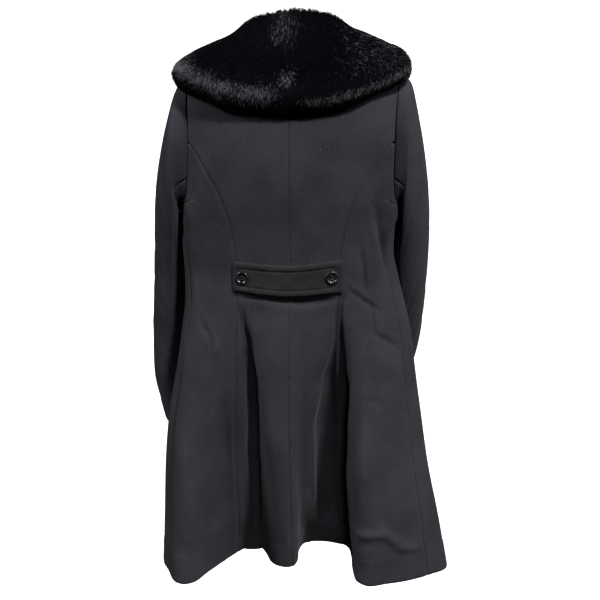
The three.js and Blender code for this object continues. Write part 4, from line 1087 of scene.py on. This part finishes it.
def closed_smooth(sections, per_span):
    """The same sections with a smooth closed curve through their points."""
    around = np.concatenate([sections[:, -1:], sections, sections[:, :2]], axis=1)
    a, b, c, d = (around[:, k:k + sections.shape[1]] for k in range(4))
    t = (np.arange(per_span) / per_span)[None, None, :, None]
    a, b, c, d = (row[:, :, None] for row in (a, b, c, d))
    span = hermite(b, c, (c - a) / 2, (d - b) / 2, t)
    return span.reshape(len(sections), -1, 3)


SKIN_ANGLES = np.linspace(0, 175, 120)
SKIN_FULLNESS = 0.84
SECTION_STEPS = 5

# %% [markdown]
# ## Fur
# Hair as black as this shows only its highlights, so its shape has to be real: thousands of narrow
# ribbons, each a few points long, that leave the skin steeply, bend over and end in a point. They grow
# in tufts that lean together and follow the nap, which is combed down to the outer edge. Short hairs
# make the ground, long ones lie over it, and some are painted pale towards their tips: painted
# highlights where light catches the fur.

# %% Fur material


def fur_material(name):
    finish = Finish(name, Roughness=0.7, Specular_IOR_Level=0.05)
    along = finish.attribute("along")
    painted_sheen = finish.attribute("painted_sheen")
    tone = finish.attribute("tone")
    black = finish.mix(tone, (0.0004, 0.0009, 0.0017, 1), (0.0014, 0.0024, 0.0040, 1))
    highlight_pale = finish.mix(tone, (0.05, 0.054, 0.062, 1), (0.30, 0.31, 0.33, 1))
    # Hairs with a painted highlight turn pale towards their tips: painted highlights.
    colour = finish.mix(painted_sheen * along.between(0.15, 0.85), black, highlight_pale)
    finish.set("Base Color", colour)
    finish.set("Roughness", 0.62 + 0.2 * tone)
    return finish.material


FUR = fur_material("fur")
skin_finish = Finish("fur_skin", Roughness=0.9, Specular_IOR_Level=0.1)
down_hair = skin_finish.noise(1.0, 3.0, 0.6, skin_finish.place((700.0, 700.0, 260.0)))
skin_finish.set("Base Color", skin_finish.mix(down_hair, (0.0004, 0.0007, 0.0012, 1),
                                              (0.0014, 0.0020, 0.0030, 1)))
skin_finish.set("Normal", skin_finish.bump(down_hair, 0.9, 0.002))

# %% [markdown]
# ## Growing the hairs
# A hair's root is a random point of the skin's grid. Its frame there is the outward
# direction, the way down the collar and the way round it. Its line is
# root + length (out a(s) + lie b(s)), where a rises fast and levels off and b keeps
# growing, so the hair bends over.

# %% Hairs
FACE_ROWS = (1, 10)
TUFT_SPREAD, TUFT_SWAY, HAIR_SWAY, TUFT_CLOSE = 0.9, 0.34, 0.16, 0.45
# Count, steps along a hair, length, width, share of the pile that it rises, hairs in a tuft
LAYERS = {
    "under": (33000, np.array([0.0, 0.5, 1.0]), 9.5, 0.84, 0.8, 5),
    "over": (34000, np.array([0.0, 0.36, 0.7, 1.0]), 13.5, 0.46, 1.05, 9),
}


def grow(name, half, seed, count, columns, steps, length, width, lift, tuft):
    """Ribbons on the skin between two columns of its sections. Steps are the places along a
    hair that have points, and its width there is width * sqrt(1 - step^3)."""
    rng = np.random.default_rng(seed)
    skin = closed_smooth(collar_section(half, SKIN_ANGLES, SKIN_FULLNESS), SECTION_STEPS)
    tips = closed_smooth(collar_section(half, SKIN_ANGLES, 1.0), SECTION_STEPS)
    low, high = columns
    area = np.linalg.norm(np.cross(
        skin[1:, low:high] - skin[:-1, low:high],
        skin[:-1, low + 1:high + 1] - skin[:-1, low:high]), axis=2)
    chance = (area / area.sum()).ravel()
    tufts = max(count // tuft, 1)
    cell = rng.choice(len(chance), tufts, p=chance)
    ti, tj = np.divmod(cell, high - low)
    ti, tj = ti + rng.random(tufts), tj + low + rng.random(tufts)
    owner = rng.integers(0, tufts, count)
    i = np.clip(ti[owner] + rng.normal(0, TUFT_SPREAD, count), 0, len(skin) - 1.001)
    j = np.clip(tj[owner] + rng.normal(0, TUFT_SPREAD, count), low, high - 0.001)

    def sample(grid, u, v):
        a, b = u.astype(int), v.astype(int)
        s, t = (u - a)[:, None], (v - b)[:, None]
        c = (b + 1) % grid.shape[1]
        return ((grid[a, b] * (1 - s) + grid[a + 1, b] * s) * (1 - t)
                + (grid[a, c] * (1 - s) + grid[a + 1, c] * s) * t)

    wrapped = np.concatenate([skin[:, -1:], skin, skin[:, :1]], axis=1)
    down = unit(wrapped[:, 2:] - wrapped[:, :-2])
    around = unit(np.gradient(skin, axis=0))
    out = unit(np.cross(around, down)) * half["sign"]
    root = sample(skin, i, j)
    out, down = unit(sample(out, i, j)), unit(sample(down, i, j))
    side = unit(np.cross(out, down))
    space = np.linalg.norm(sample(tips, i, j) - root, axis=1)
    # Each tuft leans its own way, and its hairs lean a little off that
    sway = rng.normal(0, TUFT_SWAY, tufts)[owner] + rng.normal(0, HAIR_SWAY, count)
    lie = down * np.cos(sway)[:, None] + side * np.sin(sway)[:, None]
    rise = space * lift * rng.uniform(0.75, 1.05, count)
    reach = length * rng.uniform(0.7, 1.12, tufts)[owner] * rng.uniform(0.75, 1.1, count)
    s = steps[None, :, None]
    line = (root[:, None] + out[:, None] * (rise[:, None, None] * np.sin(s * 1.35))
            + lie[:, None] * (reach[:, None, None] * (0.25 * s + 0.65 * s**1.6)))
    # The tips of one tuft close up on the tuft's own middle
    centre = np.zeros((tufts, 3))
    np.add.at(centre, owner, line[:, -1])
    size = np.bincount(owner, minlength=tufts)[:, None]
    centre = centre / np.maximum(size, 1)
    pull = (TUFT_CLOSE * steps**2)[None, :, None]
    line = line + (centre[owner] - line[:, -1])[:, None] * pull
    ahead = unit(np.gradient(line, axis=1))
    roll = rng.uniform(-1.2, 1.2, count)[:, None, None]
    flat = unit(np.cross(ahead, np.broadcast_to(out[:, None], ahead.shape)))
    other = np.cross(ahead, flat)
    across = flat * np.cos(roll) + other * np.sin(roll)
    taper = np.sqrt(1 - steps[:-1, None] ** 3)
    wide = width * rng.uniform(0.7, 1.2, count)[:, None, None] * taper / 2
    foot = line[:, :-1]
    pairs = np.stack([foot - across[:, :-1] * wide, foot + across[:, :-1] * wide], axis=2)
    points = np.concatenate([pairs.reshape(count, -1, 3), line[:, -1:]], axis=1)
    each = points.shape[1]
    base = (np.arange(count) * each)[:, None]
    quads = np.concatenate([base + k + [0, 1, 3, 2] for k in range(0, each - 3, 2)])
    piece = make_mesh(name, points.reshape(-1, 3), quads, base + each - [3, 2, 1])
    along = np.tile(np.append(np.repeat(steps[:-1], 2), steps[-1]), count)
    shade = np.repeat(np.clip(rng.normal(0.45, 0.25, count), 0, 1), each)
    # Pale hairs are painted highlights, placed where light catches the fur; the rest get a faint
    # painted grey sheen.
    share = painted_sheen_at(root)
    highlight_pale = np.where(rng.random(count) < share, rng.uniform(0.35, 1.0, count), 0.06 * share)
    painted_sheen = np.repeat(highlight_pale, each)
    for key, value in (("along", along), ("tone", shade), ("painted_sheen", painted_sheen)):
        layer = piece.data.attributes.new(key, "FLOAT", "POINT")
        layer.data.foreach_set("value", value.astype(np.float32))
    print(f"{name}: {count} hairs")
    return piece


def painted_sheen_at(points):
    """The share of hairs with a painted highlight, pale hairs that stand in for light caught on the
    black fur: many along the lower edge and round the end on the left and at the middle of the top, few
    in a thin line along the lower edge on the right, and hardly any on the right of the top."""
    x, y, z = points[..., 0], points[..., 1], points[..., 2]
    back = ease((y + 50) / 60)
    edge = -98 + 40 * (np.abs(x) / 165) ** 2.2
    above = z - edge
    left = 0.55 * ease((x - 2) / 40) * np.exp(-(((above - 15) / 12) ** 2))
    rim = 0.4 * ease((x - 140) / 45) * ease((above + 6) / 16) * ease((64 - above) / 40)
    right = 0.6 * ease(-(x + 8) / 30) * np.exp(-(((above - 4) / 5) ** 2))
    top = 0.24 * np.exp(-(((x - 14 + z * 0.2) / 18) ** 2)) * ease((z + 10) / 30)
    spot = 0.55 * np.exp(-(((x - 2) / 11) ** 2 + ((z + 58) / 10) ** 2))
    # A faint painted grey sheen over the upper right of the fur.
    shade = 0.13 * ease(-(x + 60) / 60) * ease((z + 70) / 50)
    return np.clip((left + right + rim + top + spot + shade) * back, 0, 1)


for side, half in HALVES.items():
    node = f"collar_{side}"
    grid = closed_smooth(collar_section(half, SKIN_ANGLES, SKIN_FULLNESS), SECTION_STEPS)
    skin = capped_tubes("skin_" + node, [grid])
    finish_piece(skin, skin_finish.material, node)
    columns = [row * SECTION_STEPS for row in FACE_ROWS]
    for seed, (layer, (count, *hair)) in enumerate(LAYERS.items(), half["seed"]):
        hairs = grow(f"fur_{layer}_{side}", half, seed, count, columns, *hair)
        finish_piece(hairs, FUR, node)

# %% [markdown]
# ## Half belt
# The half belt is a padded strip that lies on the waist, stitched along its border: the
# border puffs up, dips at the stitches and is flat inside them.

# %% Half belt
BELT = tracks(table("x top bottom", [
    (-91, -358.5, -416), (6, -369, -424), (101, -363, -416)]), "x")
BELT_ENDS = (-91.0, 101.0)
BELT_GAP = 0.5
STITCH_INSET, CORNER = 11.0, 3.0
BELT_FACE = track(table("inset height", [
    (0, 1.6), (1.2, 3.6), (3.5, 5.2), (7, 5.5), (9.6, 4.9), (11, 3.7), (12.4, 4.6),
    (16, 5.0), (40, 4.9)]), "inset", "height")


def back_point(x, z, height):
    """A point over the plain back at x and z, raised off the cloth, and the direction."""
    x, z = np.broadcast_arrays(np.asarray(x, float), np.asarray(z, float))
    width = np.where(x >= 0, BODY["left"](z), BODY["right"](z))
    angle = np.sign(x) * np.arcsin((np.abs(x) / width) ** (SECTION_POWER / 2))
    around = plain_point(angle + ANGLE_STEP, z) - plain_point(angle - ANGLE_STEP, z)
    up = plain_point(angle, z + LEVEL_STEP) - plain_point(angle, z - LEVEL_STEP)
    normal = -unit(np.cross(around, up))
    return plain_point(angle, z) + normal * np.asarray(height)[..., None], normal


belt_x = BELT_ENDS[0] + (BELT_ENDS[1] - BELT_ENDS[0]) * spread(132, 0.5)
share = spread(56, 0.4)
top, bottom = BELT["top"](belt_x)[:, None], BELT["bottom"](belt_x)[:, None]
belt_z = top + (bottom - top) * share
belt_xs = np.broadcast_to(belt_x[:, None], belt_z.shape)
end_inset = np.minimum(belt_xs - BELT_ENDS[0], BELT_ENDS[1] - belt_xs)
side_inset = np.minimum(top - belt_z, belt_z - bottom)
# The least of both, rounded where the lines of stitches meet in a corner
inset = -CORNER * np.log(np.exp(-end_inset / CORNER) + np.exp(-side_inset / CORNER))
puff = 0.35 * np.sin(belt_xs * 0.13 + 1) * np.sin(belt_z * 0.2) + 0.25 * np.sin(belt_xs * 0.31)
belt_height = BELT_GAP + BELT_FACE(np.maximum(inset, 0)) + puff * ease(inset / 6)
belt_face, _ = back_point(belt_xs, belt_z, belt_height)
belt_back, _ = back_point(belt_xs, belt_z, np.full_like(belt_z, BELT_GAP))
belt = wall_mesh("cloth_back_belt", belt_face, belt_back)
# The belt takes the darker wool, which is painted shade.
finish_cloth(belt, belt_face, "back_belt",
             BELT_WOOL_PAINTED_SHADE)

# %% [markdown]
# ## Buttons
# Each button is turned on a lathe: a raised rim, a dished middle and four holes. The face
# is one height field over the button's disc, so the holes are sunk where they fall. Two
# pairs of short strands of thread lie between the holes.

# %% Buttons
BUTTON_PROFILE = table("radius height", [
    (0, 1.95), (3.5, 1.9), (6.4, 2.0), (7.6, 2.35), (8.4, 3.2), (9.2, 3.6), (10.1, 3.4),
    (10.8, 2.7), (11.0, 1.8)])
BUTTON_RADIUS = 11.0
HOLE_RADIUS, HOLE_OFFSET, HOLE_DEEP = 1.1, 2.1, 1.5
BACK_SEAT, FRONT_SEAT = 5.9, 0.7
button_finish = Finish("button", Roughness=0.22, Specular_IOR_Level=0.6, Coat_Weight=0.35,
                       Coat_Roughness=0.12)
grain = button_finish.noise(90.0, 4.0, 0.6)
scuff = button_finish.noise(1600.0, 2.0, 0.5)
button_finish.set("Base Color", button_finish.mix(grain.between(0.35, 0.75),
                                                  (0.004, 0.004, 0.0045, 1),
                                                  (0.018, 0.017, 0.018, 1)))
button_finish.set("Roughness", 0.16 + 0.22 * scuff)
thread_finish = Finish("thread", Roughness=0.6, Specular_IOR_Level=0.4)
twist = thread_finish.noise(2500.0, 1.0, 0.5)
thread_finish.set("Base Color", thread_finish.mix(twist, (0.012, 0.012, 0.013, 1),
                                                  (0.045, 0.045, 0.048, 1)))


def button_points(point, normal, rings=44, around=96):
    """Face and back of a button as one grid from the middle of the face, over the rim and
    to the middle of the back, placed with its face along normal."""
    face = np.linspace(0, BUTTON_RADIUS - 0.02, rings)
    side = BUTTON_RADIUS - np.array([0.0, 0.0, 0.4, 0.8])
    r = np.concatenate([face, side, np.linspace(9, 0, 6)])
    profile = track(BUTTON_PROFILE, "radius", "height")
    h = np.concatenate([profile(face), [1.5, 0.9, 0.35, 0.1], np.zeros(6)])
    turn = np.linspace(0, 2 * np.pi, around, endpoint=False)
    x, y = r[:, None] * np.cos(turn), r[:, None] * np.sin(turn)
    z = np.broadcast_to(h[:, None], x.shape).copy()
    hole = np.hypot(np.abs(x) - HOLE_OFFSET, np.abs(y) - HOLE_OFFSET)
    sunk = HOLE_DEEP * (1 - ease((hole - HOLE_RADIUS + 0.2) / 0.35))
    z[:rings] -= sunk[:rings]
    across = unit(np.cross([0, 0, 1.0], normal))
    up = np.cross(normal, across)
    return point + x[..., None] * across + y[..., None] * up + z[..., None] * normal, across, up


def tube(path, radius, sides=8):
    """Rings of points round a path: side cos(turn) + up sin(turn), times the radius."""
    ahead = unit(np.gradient(path, axis=0))
    side = unit(np.cross(ahead, [0.31, 0.52, 0.79]))
    up = np.cross(side, ahead)
    turn = np.linspace(0, 2 * np.pi, sides, endpoint=False)
    ring = side[:, None] * np.cos(turn)[:, None] + up[:, None] * np.sin(turn)[:, None]
    radius = np.broadcast_to(radius, len(path))
    return path[:, None] + ring * radius[:, None, None]


def add_button(node, point, normal):
    """A button and, over its holes, two pairs of strands of thread that dip in at both ends."""
    grid, across, up = button_points(point, normal)
    quads = ring_faces(*grid.shape[:2])
    if signed_volume(grid.reshape(-1, 3), quads) < 0:
        quads = quads[:, ::-1]
    piece = make_mesh("turned_" + node, grid.reshape(-1, 3), quads)
    finish_piece(piece, button_finish.material, node)
    bars = []
    s = np.linspace(-1, 1, 9)
    for off in (-1, 1):
        for strand in (-0.28, 0.28):
            arch = 2.15 + 0.5 * (1 - s**2) - 1.1 * np.abs(s) ** 6
            path = (point + across * (s * (HOLE_OFFSET + 0.1))[:, None]
                    + up * (off * HOLE_OFFSET + strand) + normal * arch[:, None])
            bars.append(tube(path, 0.26))
    thread = capped_tubes("thread_" + node, bars)
    finish_piece(thread, thread_finish.material)


for node, x, z in (("back_button_left", 82.0, -391.0), ("back_button_right", -72.0, -388.5)):
    point, normal = back_point(x, z, BACK_SEAT)
    add_button(node, point, normal)
for number, z in enumerate((-262.0, -366.0, -470.0, -574.0), 1):
    normal = coat_normal(4.0, z)
    add_button(f"front_button_{number}", coat_point(4.0, z) + normal * FRONT_SEAT, normal)

# %% [markdown]
# ## Topstitching of the belt
# The stitches are short rounded bars of thread that dip into the cloth at both ends, one
# every three and a half millimetres, all round the belt.

# %% Belt stitches
STITCH, STITCH_STEP, STITCH_SEAT, STITCH_ARCH = 2.7, 3.5, 3.45, 0.55
line_x = np.linspace(BELT_ENDS[0] + STITCH_INSET, BELT_ENDS[1] - STITCH_INSET, 120)
upper, lower = BELT["top"](line_x) - STITCH_INSET, BELT["bottom"](line_x) + STITCH_INSET - 1
upper, lower = np.stack([line_x, upper], axis=1), np.stack([line_x, lower], axis=1)
loop = np.concatenate([upper, lower[::-1], upper[:1]])
loop_length = np.concatenate([[0], np.cumsum(np.linalg.norm(np.diff(loop, axis=0), axis=1))])
starts = np.arange(0, loop_length[-1] - STITCH_STEP, STITCH_STEP)
stitch_tubes = []
for start in starts:
    s = np.linspace(0, 1, 5)
    at = start + STITCH * s
    x, z = (np.interp(at, loop_length, loop[:, k]) for k in range(2))
    lift = BELT_GAP + STITCH_SEAT + STITCH_ARCH * np.sin(np.pi * s) ** 0.7
    path, _ = back_point(x, z, lift)
    stitch_tubes.append(tube(path, np.array([0.1, 0.33, 0.38, 0.33, 0.1]), 6))
stitches = capped_tubes("belt_stitches", stitch_tubes)
finish_piece(stitches, thread_finish.material)
print("stitches:", len(starts))

# %% [markdown]
# ## Studio
# A pale floor far below the hem sweeps up behind the coat. The main light is one soft panel,
# high and on the viewer's right: the collar and the belt then throw the dark bands that
# they have in the photograph, and the crest and the right of the skirt shade the two
# valleys beside them. Four weaker panels fill in from the sides, from low down and from the
# front. White paper all round would fill those shadows, so the paper and the white world
# are seen by the camera alone and don't light the cloth.

# %% Studio
FLOOR = -1400.0
PAPER_ROWS, PAPER_COLUMNS = 60, 12
s = np.linspace(0, 1, PAPER_ROWS)
bend = np.clip(s - 0.5, 0, None) * np.pi
paper_y = np.where(s < 0.5, 6000 - s * 16000, -2000 - 1500 * np.sin(bend))
paper_z = FLOOR + 5000 * (1 - np.cos(bend))
paper_x = np.linspace(-6000, 6000, PAPER_COLUMNS)
paper_grid = np.stack(np.broadcast_arrays(paper_x, paper_y[:, None], paper_z[:, None]), axis=-1)
floor = make_mesh("studio_floor", paper_grid.reshape(-1, 3),
                  grid_faces(PAPER_ROWS, PAPER_COLUMNS))
paper = Finish("paper", Roughness=0.9, Emission_Strength=0.75)
paper.set("Base Color", paper.mix(paper.noise(3.0), (0.86, 0.86, 0.86, 1), (0.9, 0.9, 0.9, 1)))
paper.set("Emission Color", paper.mix(paper.noise(3.0), (0.97, 0.97, 0.97, 1), (1, 1, 1, 1)))
floor.data.materials.append(paper.material)
floor.visible_diffuse = floor.visible_glossy = False
floor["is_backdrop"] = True


def area_light(name, place, target, size, power_w, cone=180):
    light = bpy.data.objects.new(name, bpy.data.lights.new(name, "AREA"))
    light.data.shape = "RECTANGLE"
    light.data.size, light.data.size_y = size
    light.data.energy = power_w
    light.data.spread = np.radians(cone)
    light.location = place
    aim = Vector(target) - Vector(place)
    light.rotation_euler = aim.to_track_quat("-Z", "Y").to_euler()
    bpy.context.scene.collection.objects.link(light)


area_light("key", (-1.5, 2.1, 2.5), (0, 0, -0.6), (0.42, 0.36), 194)
area_light("left_fill", (2.6, 1.2, 1.5), (0, 0, -0.5), (0.9, 0.9), 76)
area_light("right_fill", (-2.6, 1.0, 1.4), (0, 0, -0.5), (1.0, 1.0), 26)
area_light("low_fill", (-0.6, 2.6, 0.1), (-0.08, 0, -0.95), (0.5, 0.3), 0.6, 25)
area_light("front_fill", (0.3, -3.0, 2.0), (0, 0, -0.4), (1.4, 1.2), 90)
world = bpy.data.worlds.new("studio")
bpy.context.scene.world = world
world.use_nodes = True
world.node_tree.nodes["Background"].inputs["Color"].default_value = (1, 1, 1, 1)
world.node_tree.nodes["Background"].inputs["Strength"].default_value = 1.0
world.cycles_visibility.diffuse = world.cycles_visibility.glossy = False
bpy.context.scene.view_settings.view_transform = "Standard"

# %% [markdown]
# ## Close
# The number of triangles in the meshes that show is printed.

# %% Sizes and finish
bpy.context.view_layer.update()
meshes = [piece.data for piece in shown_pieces() if piece.type == "MESH"]
print("triangles:", sum(len(face.vertices) - 2 for mesh in meshes for face in mesh.polygons))
